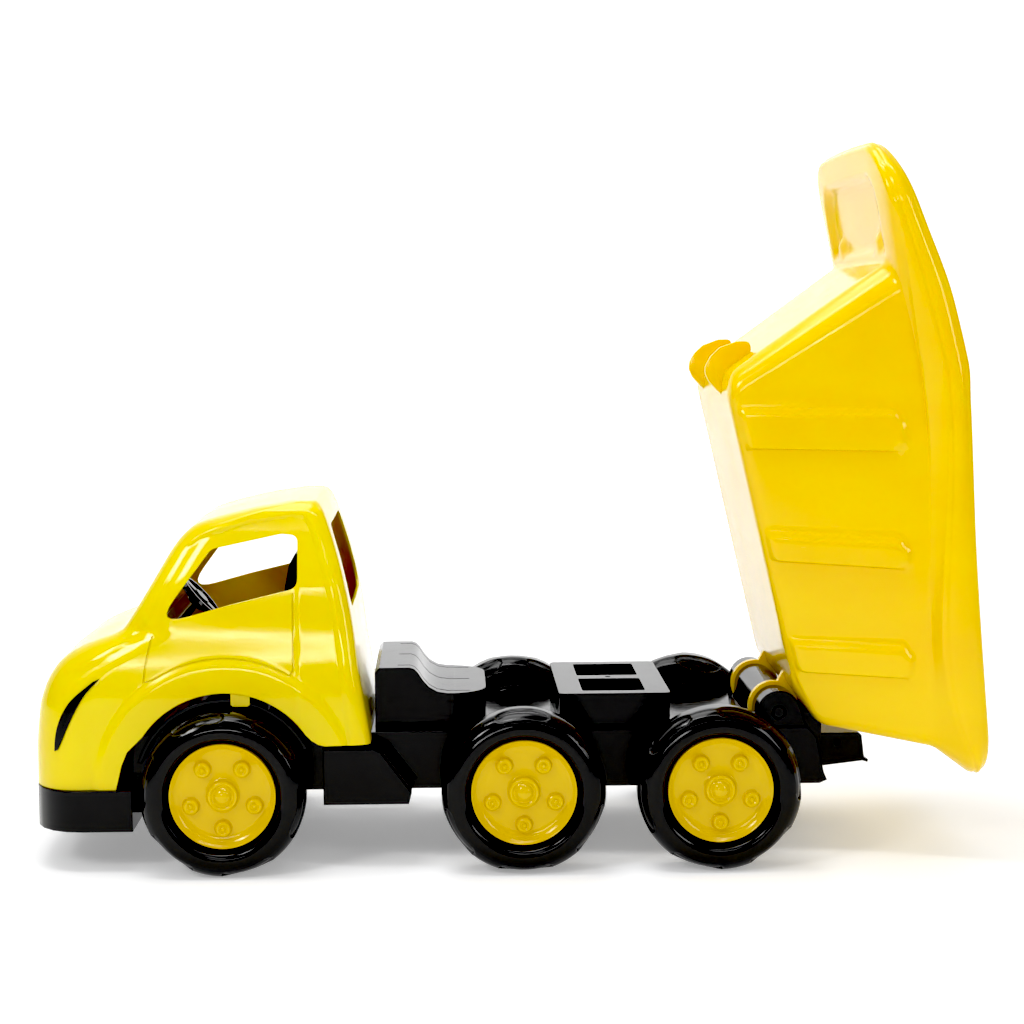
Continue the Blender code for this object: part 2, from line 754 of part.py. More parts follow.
def make_insert(skin):
    """Seats, dashboard and steering wheel moulded as one black piece on a floor."""
    floor_line = rounded([(-338.0, -104.0), (-172.0, -104.0), (-172.0, 104.0), (-338.0, 104.0)], 14.0)
    insert = plate("cab_insert", floor_line, "Z", INSERT_FLOOR, INSERT_FLOOR + 3.4, TRUCK)
    dash_line = [
        (-336.0, 156.0), (-337.0, 200.0), (-332.0, 216.0), (-322.0, 222.0), (-311.0, 219.0),
        (-306.0, 208.0),
    ]
    dash_line += [(-312.0, 190.0), (-314.0, 156.0)]
    dash = plate("dashboard", dash_line, "Y", -96.0, 96.0)
    add(insert, dash)
    for side, label in ((-1.0, "left"), (1.0, "right")):
        seat_line = [(-262.0, 156.0), (-264.0, 186.0), (-256.0, 194.0), (-222.0, 191.0), (-216.0, 230.0)]
        seat_line += [
            (-209.0, 268.0), (-203.0, 279.0), (-193.0, 280.0), (-187.0, 270.0),
            (-178.0, 206.0), (-178.0, 156.0),
        ]
        seat = plate("seat_" + label, seat_line, "Y", *sorted((side * 14.0, side * 86.0)))
        add(insert, seat)
    column_line = [(-314.0, 214.0), (-297.0, 233.0), (-294.0, 230.0), (-309.0, 208.0)]
    column = plate("steering_column", column_line, "Y", -50.0 - 5.0, -50.0 + 5.0)
    add(insert, column)
    rim = steering_wheel()
    add(insert, rim)
    pockets = []
    for side, label in ((-1.0, "left"), (1.0, "right")):
        ends = sorted((side * 18.0, side * 82.0))
        pockets.append(box("seat_pocket_" + label, (-258.0, ends[0], 150.0), (-226.0, ends[1], 187.0)))
        back_line = [
            (-218.0, 150.0), (-212.0, 228.0), (-204.0, 266.0), (-194.0, 266.0),
            (-182.0, 204.0), (-182.0, 150.0),
        ]
        pockets.append(plate("seat_back_pocket_" + label, back_line, "Y", *ends))
    pockets.append(box("dash_pocket", (-333.0, -92.0, 150.0), (-318.0, 92.0, 200.0)))
    for index, x in enumerate(SCREW_X):
        pockets.append(plate("insert_hole_%d" % (index + 1), disc((x, 0.0), 2.4, 12), "Z", 150.0, 165.0))
    cut(insert, *pockets)
    finish(insert, skin)
    return insert


def steering_wheel():
    """A chunky ring with one broad spoke, tilted toward the driver."""
    profile = arc((23.0, 0.0), 3.4, 0.0, 360.0, 6)[:-1]
    ring = turned("steering_ring", profile, 18, CUTTERS)
    spoke_line = rounded([(-22.0, -5.0), (22.0, -5.0), (22.0, 5.0), (-22.0, 5.0)], 1.0)
    spoke = plate("steering_spoke", spoke_line, "Z", -2.2, 2.2)
    combine(ring, spoke, "UNION")
    hub = plate("steering_hub", disc((0.0, 0.0), 8.0, 16), "Z", -8.0, 3.0)
    combine(ring, hub, "UNION")
    bake(ring)
    tilt = Matrix.Rotation(math.radians(48.0), 4, "Y")
    ring.data.transform(Matrix.Translation((-293.0 * MM, -50.0 * MM, 235.0 * MM)) @ tilt)
    return ring


def make_screw(name, x, skin):
    """A pan-head self-tapping screw that holds the seat insert to the chassis."""
    top = INSERT_FLOOR + 3.4 + GAP
    profile = [(0.0, 2.6), (2.2, 2.4), (3.8, 1.2), (4.0, 0.0), (1.5, 0.0), (1.5, -16.0), (0.0, -18.0)]
    screw = turned(name, profile, 10, TRUCK)
    screw.location = ((x + FRAME_SHIFT) * MM, 0.0, top * MM)
    finish(screw, skin)
    return screw


# ---------------------------------------------------------------- bed

# lower edge of the rim along its side, and upper edge, as (x, z)
RIM_LOW = (
    (-243.0, 310.5), (-205.0, 312.5), (-178.0, 317.0), (-132.0, 322.0), (-45.0, 327.5),
    (0.0, 323.0), (253.0, 272.0), (326.0, 281.0),
)
RIM_HIGH = (
    (-246.0, 327.0), (-210.0, 335.0), (-173.0, 341.0), (-94.0, 352.0), (-42.0, 353.0),
    (-9.0, 348.0), (130.0, 325.0), (320.0, 302.0),
)
# height of the heel of the tub and of the top of its walls along the side
HEEL = ((-78.0, 153.0), (-60.0, 151.0), (205.0, 151.0), (250.0, 161.0))
WALL_TOP = ((-142.0, 310.0), (-120.0, 322.5), (-45.0, 327.0), (0.0, 322.5), (253.0, 271.5), (289.0, 262.0))
# front and rear edge of each raised rib at the floor
RIB_EDGES = ((-48.0, -9.0), (65.0, 94.0), (165.0, 197.0))
RIB_RAMP = 2.2


def first_rib_column():
    return 2 + BED_CORNER_STEPS + 1


def rib_columns():
    """Positions along the floor edge and how proud the side stands at each."""
    columns = []
    for front, rear in RIB_EDGES:
        columns += [(front, 0.0), (front + RIB_RAMP, 1.0), (rear - RIB_RAMP, 1.0), (rear, 0.0)]
    return columns


def bed_ring(front, rear, half_width, height, corner, rib, bow=0.0):
    """One ring of the tub. Height is a function of x; rib says how much of the rib height stands out."""
    ring = [(front - bow, 0.0, height(front))]
    ring.append((front - bow * 0.75, (half_width - corner) * 0.5, height(front)))
    steps = BED_CORNER_STEPS
    for step in range(steps + 1):
        angle = math.radians(90.0 * step / steps)
        x = front + corner * (1.0 - math.cos(angle))
        y = half_width - corner + corner * math.sin(angle)
        ring.append((x, y, height(x)))
    start = front + corner
    end = rear - corner
    floor_start = -58.0
    floor_end = 205.0
    slanted = rib > 0.0
    for place, amount in rib_columns():
        if slanted:
            x = place + (height(place) - BED_FLOOR) * BED_SLANT
        else:
            x = start + (end - start) * (place - floor_start) / (floor_end - floor_start)
        ring.append((x, half_width + amount * rib * RIB_HEIGHT, height(x)))
    for step in range(steps + 1):
        angle = math.radians(90.0 * step / steps)
        x = rear - corner + corner * math.sin(angle)
        y = half_width - corner + corner * math.cos(angle)
        ring.append((x, y, height(x)))
    ring += [(rear, (half_width - corner) * 0.5, height(rear)), (rear, 0.0, height(rear))]
    return ring


def blend_ring(low, high, part, rib):
    """A ring part of the way up between two others, with the slanted ribs standing out of it."""
    ring = []
    first = first_rib_column()
    amounts = [amount for _, amount in rib_columns()]
    for index, (start, end) in enumerate(zip(low, high)):
        x, y, z = (a + (b - a) * part for a, b in zip(start, end))
        if first <= index < first + len(amounts):
            y += amounts[index - first] * rib * RIB_HEIGHT
        ring.append((x, y, z))
    return ring


def bed_rings():
    floor = bed_ring(-60.0, 214.0, FLOOR_HALF_WIDTH - 5.0, lambda x: BED_FLOOR, 12.0, 0.0)
    heel = bed_ring(-78.0, 250.0, FLOOR_HALF_WIDTH, heel_height, 15.0, 0.0)
    heel = slant_columns(heel, 8.0)
    top = bed_ring(-142.0, 289.0, WALL_TOP_HALF_WIDTH, wall_top_height, 16.0, 0.0)
    top = slant_columns(top, 160.0)
    rings = [floor, heel]
    rings.append(blend_ring(heel, top, 0.04, 1.0))
    rings.append(blend_ring(heel, top, 0.45, 1.0))
    rings.append(blend_ring(heel, top, 0.86, 1.0))
    rings.append(blend_ring(heel, top, 0.90, 0.0))
    rings.append(top)
    ledge = bed_ring(-243.0, 324.0, RIM_HALF_WIDTH - 1.0, lambda x: lookup(RIM_LOW, x), 34.0, 0.0, 3.0)
    rings.append(ledge)
    band_low = bed_ring(-245.0, 326.0, RIM_HALF_WIDTH, lambda x: lookup(RIM_LOW, x) + 3.0, 35.0, 0.0, 3.0)
    rings.append(band_low)
    band_high = bed_ring(-245.0, 323.0, RIM_HALF_WIDTH, lambda x: lookup(RIM_HIGH, x) - 3.0, 35.0, 0.0, 3.0)
    rings.append(band_high)
    lip = bed_ring(-243.5, 321.0, RIM_HALF_WIDTH - 1.8, lambda x: lookup(RIM_HIGH, x), 34.0, 0.0, 3.0)
    rings.append(lip)
    return rings


def heel_height(x):
    return lookup(HEEL, x)


def wall_top_height(x):
    return lookup(WALL_TOP, x)


def slant_columns(ring, climb):
    """Moves the rib columns of a ring to the slanted lines of the ribs."""
    first = first_rib_column()
    moved = list(ring)
    for index, (place, _) in enumerate(rib_columns()):
        _, y, z = ring[first + index]
        x = place + climb * BED_SLANT * (0.80 if climb > 100.0 and place > 150.0 else 1.0)
        moved[first + index] = (x, y, wall_top_height(x) if climb > 100.0 else z)
    return moved


def make_bed(skin):
    """The tub, its canopy, two hinge arms and two feet, drawn level and then raised about the pivot."""
    bed = skin_from_rings("dump_bed", bed_rings(), True, False, TRUCK)
    thicken(bed, BED_WALL)
    tools = []
    for side, label in ((-1.0, "left"), (1.0, "right")):
        low, high = sorted((side * (ARM_Y - ARM_THICKNESS / 2), side * (ARM_Y + ARM_THICKNESS / 2)))
        arm_line = arc((PIVOT_X, PIVOT_Z), ARM_RADIUS, 158.0, 460.0, 20)
        arm_line += [(216.5, 147.6), (204.0, 147.6), (207.5, 144.0)]
        tools.append(plate("hinge_arm_" + label, arm_line, "Y", low, high))
        low, high = sorted((side * (FOOT_Y - FOOT_THICKNESS / 2), side * (FOOT_Y + FOOT_THICKNESS / 2)))
        foot_line = [
            (-88.0, 181.0), (-99.0, 182.0), (-101.5, 170.0), (-99.5, 154.0), (-93.5, 144.0),
            (-86.0, 137.5),
        ]
        foot_line += [
            (-80.0, 136.0), (-72.0, 137.5), (-63.0, 142.5), (-56.0, 147.4), (-61.0, 147.6),
            (-77.0, 154.0),
        ]
        tools.append(plate("bed_foot_" + label, foot_line, "Y", low, high))
    add(bed, *tools)
    bore = plate("bed_pin_bore", disc((PIVOT_X, PIVOT_Z), PIN_RADIUS + GAP, 14), "Y", -100.0, 100.0)
    cut(bed, bore)
    to_pivot = Matrix.Translation((-PIVOT_X * MM, 0.0, -PIVOT_Z * MM))
    for piece in [bed, bore] + tools:
        piece.data.transform(to_pivot)
        piece.location = ((PIVOT_X + FRAME_SHIFT) * MM, 0.0, PIVOT_Z * MM)
        piece.rotation_euler = (0.0, math.radians(RAISED_ANGLE), 0.0)
    finish(bed, skin)
    return bed


def make_hinge(steel, black):
    half_profile = [(0.0, 87.0), (PIN_RADIUS - 0.4, 87.0), (PIN_RADIUS, 86.0)]
    pin_profile = half_profile + [(radius, -height) for radius, height in half_profile[::-1]]
    pin = turned("hinge_pin", pin_profile, 12, TRUCK)
    pin.data.transform(Matrix.Rotation(math.radians(90.0), 4, "X"))
    pin.location = ((PIVOT_X + FRAME_SHIFT) * MM, 0.0, PIVOT_Z * MM)
    finish(pin, steel)
    for side, label in ((-1.0, "left"), (1.0, "right")):
        profile = [(0.0, 3.6), (5.2, 3.6), (5.7, 3.1), (5.7, 0.3), (0.0, 0.3)]
        plug = turned("hinge_plug_" + label, profile, 16, TRUCK)
        plug.data.transform(Matrix.Rotation(math.radians(-90.0 * side), 4, "X"))
        plug.location = ((PIVOT_X + FRAME_SHIFT) * MM, side * (SADDLE_HALF_WIDTH - 4.0) * MM, PIVOT_Z * MM)
        finish(plug, black)


# ---------------------------------------------------------------- wheels


def wheel_profile():
    """Half section of a wheel as (radius, depth from the outer face), walking round the solid."""
    core_top = WHEEL_WIDTH
    return [
        (AXLE_RADIUS + GAP, WEB_OUTER_DEPTH),
        (HUB_CAP_RADIUS + 1.0, WEB_OUTER_DEPTH),
        (DISH_RADIUS, 3.5),
        (CREST_RADIUS - 2.0, 0.0),
        (SIDEWALL_RADIUS - 4.5, 1.2),
        (SIDEWALL_RADIUS, 5.0),
        (WHEEL_RADIUS, 9.0),
        (WHEEL_RADIUS, WHEEL_WIDTH - 9.0),
        (SIDEWALL_RADIUS, WHEEL_WIDTH - 5.0),
        (SIDEWALL_RADIUS - 2.0, core_top),
        (CORE_OUTER_RADIUS, core_top),
        (CORE_OUTER_RADIUS, CORE_DEPTH),
        (CORE_INNER_RADIUS, CORE_DEPTH),
        (CORE_INNER_RADIUS, core_top - 4.0),
        (CORE_INNER_RADIUS - 5.0, core_top - 4.0),
        (CORE_INNER_RADIUS - 6.0, WEB_INNER_DEPTH),
        (WHEEL_HUB_RADIUS, WEB_INNER_DEPTH),
        (WHEEL_HUB_RADIUS - 1.0, core_top - 1.0),
        (AXLE_RADIUS + GAP, core_top - 1.0),
    ]


def tread_cutters():
    """Slanted notches across both shoulders, staggered from one side to the other, as one tool."""
    tool = blank_object("tread_notches", CUTTERS)
    cage = bmesh.new()
    for index in range(TREAD_LUGS * 2):
        outer = index % 2 == 0
        turn = math.radians(360.0 * index / (TREAD_LUGS * 2))
        block = bmesh.ops.create_cube(cage, size=1.0)["verts"]
        depth = -1.0 if outer else WHEEL_WIDTH + 1.0
        reach = 21.0
        shape = Matrix.Diagonal((TREAD_GROOVE_DEPTH * 2 * MM, 8.0 * MM, reach * MM, 1.0))
        skew = Matrix.Rotation(math.radians(16.0 if outer else -16.0), 4, "X")
        lean = Matrix.Rotation(math.radians(-9.0 if outer else 9.0), 4, "Y")
        middle = depth + (reach / 2.0 if outer else -reach / 2.0)
        place = Matrix.Translation((WHEEL_RADIUS * MM, 0.0, middle * MM))
        moved = Matrix.Rotation(turn, 4, "Z") @ place @ lean @ skew @ shape
        bmesh.ops.transform(cage, matrix=moved, verts=block)
    cage.to_mesh(tool.data)
    cage.free()
    return tool


def make_wheel_mesh():
    """One wheel drawn with its axle along Z and its outer face at Z = 0, then frozen as a mesh."""
    wheel = turned("wheel_form", wheel_profile(), 24, CUTTERS)
    cut(wheel, tread_cutters())
    for index in range(TAB_COUNT):
        slot = tab_solid("tab_slot_%d" % (index + 1), index, GAP, 10.0, 40.0)
        cut(wheel, slot)
    bake(wheel)
    return wheel.data


def tab_solid(name, index, grow, low, high):
    half = TAB_WIDTH / 2.0 + grow
    thick = TAB_THICKNESS / 2.0 + grow
    corners = [
        (TAB_RADIUS - thick, -half), (TAB_RADIUS + thick, -half), (TAB_RADIUS + thick, half),
        (TAB_RADIUS - thick, half),
    ]
    tab = plate(name, corners, "Z", low, high)
    tab.data.transform(Matrix.Rotation(math.radians(360.0 * index / TAB_COUNT + 45.0), 4, "Z"))
    return tab


def make_hub_cap_mesh():
    """A shallow dished cap with a hollow centre boss, five false lug nuts and four snap tabs."""
    back = WEB_OUTER_DEPTH - GAP
    face = HUB_CAP_FACE_DEPTH
    profile = [
        (9.5, back),
        (HUB_CAP_RADIUS, back),
        (HUB_CAP_RADIUS, face - 1.0),
        (HUB_CAP_RADIUS - 2.0, face - 2.0),
        (HUB_CAP_RADIUS - 6.5, face),
        (14.5, face),
        (13.2, face - 3.6),
        (9.0, face - 4.2),
        (7.5, face - 6.6),
        (3.8, face - 8.2),
        (0.0, face - 8.4),
        (0.0, face - 5.4),
        (5.0, face - 5.0),
        (9.5, face - 1.2),
    ]
    cap = turned("hub_cap_form", profile, 20, CUTTERS)
    for index in range(LUG_COUNT):
        angle = math.radians(360.0 * index / LUG_COUNT - 90.0)
        lug_profile = [(0.0, face - 5.6), (LUG_RADIUS - 1.4, face - 5.6), (LUG_RADIUS, face - 4.4)]
        lug_profile += [(LUG_RADIUS + 0.8, face + 1.0), (0.0, face + 1.0)]
        lug = turned("lug_%d" % (index + 1), lug_profile, 8, CUTTERS)
        spot = Vector((LUG_CIRCLE * math.cos(angle), LUG_CIRCLE * math.sin(angle), 0.0))
        lug.data.transform(Matrix.Translation(spot * MM))
        add(cap, lug)
    for index in range(TAB_COUNT):
        add(cap, tab_solid("snap_tab_%d" % (index + 1), index, 0.0, face + 1.0, WEB_INNER_DEPTH + 2.5))
    bake(cap)
    return cap.data


def make_push_nut_mesh():
    """A domed spring cap pressed on the end of an axle."""
    end = WHEEL_OUTER_Y - AXLE_HALF_LENGTH
    outer = WEB_OUTER_DEPTH - 0.6
    profile = [
        (AXLE_RADIUS + GAP, outer),
        (8.0, outer),
        (8.0, outer - 1.0),
        (5.6, outer - 1.6),
        (5.0, end - 1.4),
        (0.0, end - 2.0),
        (0.0, end - 0.6),
        (AXLE_RADIUS + GAP, end - 0.3),
    ]
    nut = turned("push_nut_form", profile, 12, CUTTERS)
    return nut.data


def make_wheels(black, yellow, steel):
    wheel_mesh = make_wheel_mesh()
    cap_mesh = make_hub_cap_mesh()
    nut_mesh = make_push_nut_mesh()
    for mesh, skin in ((wheel_mesh, black), (cap_mesh, yellow), (nut_mesh, steel)):
        mesh.materials.clear()
        mesh.materials.append(skin)
    for axle_name, x in (("front", FRONT_AXLE_X), ("middle", MIDDLE_AXLE_X), ("rear", REAR_AXLE_X)):
        axle_profile = [(0.0, AXLE_HALF_LENGTH), (3.2, AXLE_HALF_LENGTH)]
        axle_profile.append((AXLE_RADIUS, AXLE_HALF_LENGTH - 1.0))
        axle_profile += [(radius, -height) for radius, height in axle_profile[::-1]]
        axle = turned("axle_" + axle_name, axle_profile, 16, TRUCK)
        axle.data.transform(Matrix.Rotation(math.radians(90.0), 4, "X"))
        axle.location = ((x + FRAME_SHIFT) * MM, 0.0, WHEEL_RADIUS * MM)
        finish(axle, steel)
        for side, label in ((-1.0, "left"), (1.0, "right")):
            for kind, mesh in (("wheel", wheel_mesh), ("hub_cap", cap_mesh), ("push_nut", nut_mesh)):
                piece = bpy.data.objects.new("%s_%s_%s" % (kind, axle_name, label), mesh)
                TRUCK.objects.link(piece)
                piece.location = ((x + FRAME_SHIFT) * MM, side * WHEEL_OUTER_Y * MM, WHEEL_RADIUS * MM)
                piece.rotation_euler = (math.radians(90.0 * side), 0.0, 0.0)
    for mesh in (wheel_mesh, cap_mesh, nut_mesh):
        for face in mesh.polygons:
            face.use_smooth = True
        mesh.set_sharp_from_angle(angle=math.radians(32.0))


def main():
    black_gloss = material("chassis_black", BLACK, 0.16)
    tyre_black = material("wheel_black", BLACK, 0.2)
    insert_black = material("insert_black", BLACK, 0.22)
    decal_black = material("decal_black", BLACK, 0.3)
    cab_yellow = material("cab_yellow", YELLOW_CAB, 0.2)
    bed_yellow = material("bed_yellow", YELLOW_BED, 0.22)
    cap_yellow = material("hub_cap_yellow", YELLOW_CAP, 0.26)
    steel = material("axle_steel", STEEL, 0.3, 1.0)

    make_chassis(black_gloss)
    make_cab(cab_yellow)
    make_insert(insert_black)
    for index, x in enumerate(SCREW_X):
        make_screw("insert_screw_%s" % ("rear", "front")[index], x, steel)
    make_leaf("nose_trim_left", -1.0, decal_black)
    make_leaf("nose_trim_right", 1.0, decal_black)
    make_bed(bed_yellow)
    make_hinge(steel, black_gloss)
    make_wheels(tyre_black, cap_yellow, steel)


main()
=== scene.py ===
"""Looks of the toy dump truck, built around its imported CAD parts.

Lengths in shape functions are millimetres, turned into metres with MM. Side-view shapes are drawn with
X = 0 on the middle axle, and origin_x moves them to their place in the frame. The truck faces -X and its
left side is -Y. The tub is drawn level and then turned up about its hinge pin.
"""

import json
import math

import bmesh
import bpy
from mathutils import Matrix, Vector


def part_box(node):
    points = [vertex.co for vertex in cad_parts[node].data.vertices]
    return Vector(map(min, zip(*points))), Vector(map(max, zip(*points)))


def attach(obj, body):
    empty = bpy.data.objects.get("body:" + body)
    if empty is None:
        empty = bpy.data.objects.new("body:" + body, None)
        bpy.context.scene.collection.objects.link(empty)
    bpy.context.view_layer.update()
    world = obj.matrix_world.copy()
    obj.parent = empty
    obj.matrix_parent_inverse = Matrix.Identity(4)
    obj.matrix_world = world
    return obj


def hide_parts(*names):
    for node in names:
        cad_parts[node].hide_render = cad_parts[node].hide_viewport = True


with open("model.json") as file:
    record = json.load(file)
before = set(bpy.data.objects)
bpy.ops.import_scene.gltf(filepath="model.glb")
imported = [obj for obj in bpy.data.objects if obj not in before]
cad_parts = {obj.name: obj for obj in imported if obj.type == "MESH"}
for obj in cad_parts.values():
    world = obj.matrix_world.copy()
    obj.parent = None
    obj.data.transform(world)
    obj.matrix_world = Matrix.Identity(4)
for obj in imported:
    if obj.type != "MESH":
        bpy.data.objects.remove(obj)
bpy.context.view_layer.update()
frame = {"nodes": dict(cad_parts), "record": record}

MM = 0.001
SIDES = (("left", -1.0), ("right", 1.0))
AXLES = ("front", "middle", "rear")

axle_low, axle_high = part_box("axle_middle")
origin_x = (axle_low.x + axle_high.x) / 2
front_low, front_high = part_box("axle_front")
FRONT_AXLE_X = ((front_low.x + front_high.x) / 2 - origin_x) / MM
AXLE_Z = (axle_low.z + axle_high.z) / 2 / MM
pin_low, pin_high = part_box("hinge_pin")
pin_x, pin_z = (pin_low.x + pin_high.x) / 2.0, (pin_low.z + pin_high.z) / 2.0

CAB_YELLOW = (0.83, 0.665, 0.0)
BED_YELLOW = (0.90, 0.63, 0.0)
CAP_YELLOW = (0.72, 0.50, 0.0)
BLACK = (0.003, 0.003, 0.0033)
BLACK_LEVEL = 0.038
STEEL = (0.60, 0.60, 0.62)
WELD_DISTANCE = 0.02 * MM


# ---------------------------------------------------------------- materials


def node(tree, kind, **inputs):
    """A shader node with its inputs set. An underscore in a name stands for a space."""
    made = tree.nodes.new(kind)
    for name, value in inputs.items():
        made.inputs[name.replace("_", " ")].default_value = value
    return made


def noise(tree, scale, detail=3.0, stretch=None):
    """Noise in the object's own coordinates, drawn out along an axis when stretch is given."""
    where = tree.nodes.new("ShaderNodeTexCoord")
    texture = node(tree, "ShaderNodeTexNoise", Scale=scale, Detail=detail)
    if stretch:
        mapping = tree.nodes.new("ShaderNodeMapping")
        mapping.inputs["Scale"].default_value = stretch
        tree.links.new(where.outputs["Object"], mapping.inputs["Vector"])
        tree.links.new(mapping.outputs["Vector"], texture.inputs["Vector"])
    else:
        tree.links.new(where.outputs["Object"], texture.inputs["Vector"])
    return texture.outputs["Fac"]


def spread(tree, source, low, high, start=0.35, end=0.65):
    """The part of source between start and end, spread over low to high."""
    ranged = node(tree, "ShaderNodeMapRange", From_Min=start, From_Max=end, To_Min=low, To_Max=high)
    tree.links.new(source, ranged.inputs["Value"])
    return ranged.outputs["Result"]


def tinted(tree, mask, first, second):
    """A colour that goes from first to second with the mask."""
    mix = tree.nodes.new("ShaderNodeMix")
    mix.data_type = "RGBA"
    mix.inputs["A"].default_value = (*first, 1.0)
    mix.inputs["B"].default_value = (*second, 1.0)
    tree.links.new(mask, mix.inputs["Factor"])
    return mix.outputs["Result"]


def moulded_plastic(name, color, shade, roughness, edge_mm=0.9, peel=0.05, gloss=0.5, glow=0.0):
    """Glossy moulded plastic: soft flow marks, a faint orange peel, fine scuffs and rounded edges."""
    skin = bpy.data.materials.new(name)
    skin.use_nodes = True
    tree = skin.node_tree
    shader = tree.nodes["Principled BSDF"]
    shader.inputs["IOR"].default_value = 1.5
    shader.inputs["Specular IOR Level"].default_value = gloss
    if glow:
        shader.inputs["Subsurface Weight"].default_value = glow
        shader.inputs["Subsurface Radius"].default_value = (1.0, 0.42, 0.02)
        shader.inputs["Subsurface Scale"].default_value = 0.006
    flow = spread(tree, noise(tree, 7.0, 2.0, (1.0, 1.0, 2.4)), 0.0, 1.0)
    tree.links.new(tinted(tree, flow, color, shade), shader.inputs["Base Color"])

    patches = spread(tree, noise(tree, 26.0, 4.0), roughness * 0.8, roughness * 1.25)
    scuffs = spread(tree, noise(tree, 60.0, 5.0, (1.0, 5.0, 14.0)), 0.0, 0.10, 0.56, 0.72)
    total = tree.nodes.new("ShaderNodeMath")
    total.operation = "ADD"
    tree.links.new(patches, total.inputs[0])
    tree.links.new(scuffs, total.inputs[1])
    tree.links.new(total.outputs[0], shader.inputs["Roughness"])

    rounding = tree.nodes.new("ShaderNodeBevel")
    rounding.samples = 4
    rounding.inputs["Radius"].default_value = edge_mm * MM
    fine = node(tree, "ShaderNodeBump", Strength=peel, Distance=0.0004)
    tree.links.new(noise(tree, 230.0, 2.0), fine.inputs["Height"])
    tree.links.new(rounding.outputs["Normal"], fine.inputs["Normal"])
    waves = node(tree, "ShaderNodeBump", Strength=0.10, Distance=0.003)
    tree.links.new(noise(tree, 11.0, 1.0), waves.inputs["Height"])
    tree.links.new(fine.outputs["Normal"], waves.inputs["Normal"])
    tree.links.new(waves.outputs["Normal"], shader.inputs["Normal"])
    return skin


def drawn_steel(name):
    """Bright drawn rod with fine lines along its length."""
    skin = bpy.data.materials.new(name)
    skin.use_nodes = True
    tree = skin.node_tree
    shader = tree.nodes["Principled BSDF"]
    shader.inputs["Metallic"].default_value = 1.0
    lines = noise(tree, 300.0, 3.0, (1.0, 0.03, 1.0))
    dull = tuple(channel * 0.8 for channel in STEEL)
    tree.links.new(tinted(tree, spread(tree, lines, 0.0, 1.0), STEEL, dull), shader.inputs["Base Color"])
    tree.links.new(spread(tree, lines, 0.22, 0.40), shader.inputs["Roughness"])
    bump = node(tree, "ShaderNodeBump", Strength=0.15, Distance=0.0002)
    tree.links.new(lines, bump.inputs["Height"])
    tree.links.new(bump.outputs["Normal"], shader.inputs["Normal"])
    return skin


def darker(color, part):
    return tuple(channel * part for channel in color)


SKINS = {
    "cab_yellow": moulded_plastic("cab_yellow", CAB_YELLOW, (0.82, 0.63, 0.0), 0.12, glow=0.30),
    "bed_yellow": moulded_plastic("bed_yellow", BED_YELLOW, (0.88, 0.585, 0.0), 0.14, glow=0.30),
    "hub_cap_yellow": moulded_plastic("hub_cap_yellow", CAP_YELLOW, (0.69, 0.46, 0.0), 0.14, 0.5),
    "chassis_black": moulded_plastic("chassis_black", BLACK, darker(BLACK, 1.8), 0.10, 1.5, gloss=0.38),
    "wheel_black": moulded_plastic("wheel_black", BLACK, darker(BLACK, 1.8), 0.11, 0.6, 0.06, 0.42),
    "insert_black": moulded_plastic("insert_black", BLACK, darker(BLACK, 1.8), 0.12, gloss=0.38),
    "decal_black": moulded_plastic("decal_black", BLACK, darker(BLACK, 1.6), 0.12, 0.4, gloss=0.38),
    "axle_steel": drawn_steel("axle_steel"),
}


# ---------------------------------------------------------------- shape helpers


def new_object(name, mesh=None):
    obj = bpy.data.objects.new(name, mesh or bpy.data.meshes.new(name))
    bpy.context.scene.collection.objects.link(obj)
    return obj


def bake(obj):
    """Applies the object's modifiers."""
    graph = bpy.context.evaluated_depsgraph_get()
    solid = bpy.data.meshes.new_from_object(obj.evaluated_get(graph))
    obj.modifiers.clear()
    obj.data = solid
    return obj


def weld(mesh):
    """Merges points that coincide, and turns the faces one way."""
    cage = bmesh.new()
    cage.from_mesh(mesh)
    bmesh.ops.remove_doubles(cage, verts=cage.verts, dist=WELD_DISTANCE)
    bmesh.ops.recalc_face_normals(cage, faces=cage.faces)
    cage.to_mesh(mesh)
    cage.free()


def mirrored(obj):
    """Completes a half that is open at the plane Y = 0."""
    mirror = obj.modifiers.new("mirror", "MIRROR")
    mirror.use_axis = (False, True, False)
    mirror.merge_threshold = WELD_DISTANCE
    bake(obj)
    weld(obj.data)


def thickened(obj, thickness, even=False):
    """Gives an open skin a wall on its inner side."""
    wall = obj.modifiers.new("wall", "SOLIDIFY")
    wall.thickness = thickness * MM
    wall.offset = -1.0
    wall.use_even_offset = even
    bake(obj)


def round_off(obj, width, angle, segments=3):
    """Rounds every edge sharper than the angle."""
    edge = obj.modifiers.new("edge", "BEVEL")
    edge.width = width * MM
    edge.segments = segments
    edge.limit_method = "ANGLE"
    edge.angle_limit = math.radians(angle)
    bake(obj)


def smooth(obj, angle):
    """Shades the object smooth, except over edges sharper than the angle."""
    for face in obj.data.polygons:
        face.use_smooth = True
    obj.data.set_sharp_from_angle(angle=math.radians(angle))


def grid(name, rows, wrap=False):
    """A surface through rows of points, each row as long as the others."""
    width = len(rows[0])
    faces = []
    for row in range(len(rows) if wrap else len(rows) - 1):
        start = row * width
        after = (row + 1) % len(rows) * width
        for column in range(width - 1):
            faces.append((start + column, start + column + 1, after + column + 1, after + column))
    obj = new_object(name)
    obj.data.from_pydata([point for row in rows for point in row], [], faces)
    return obj


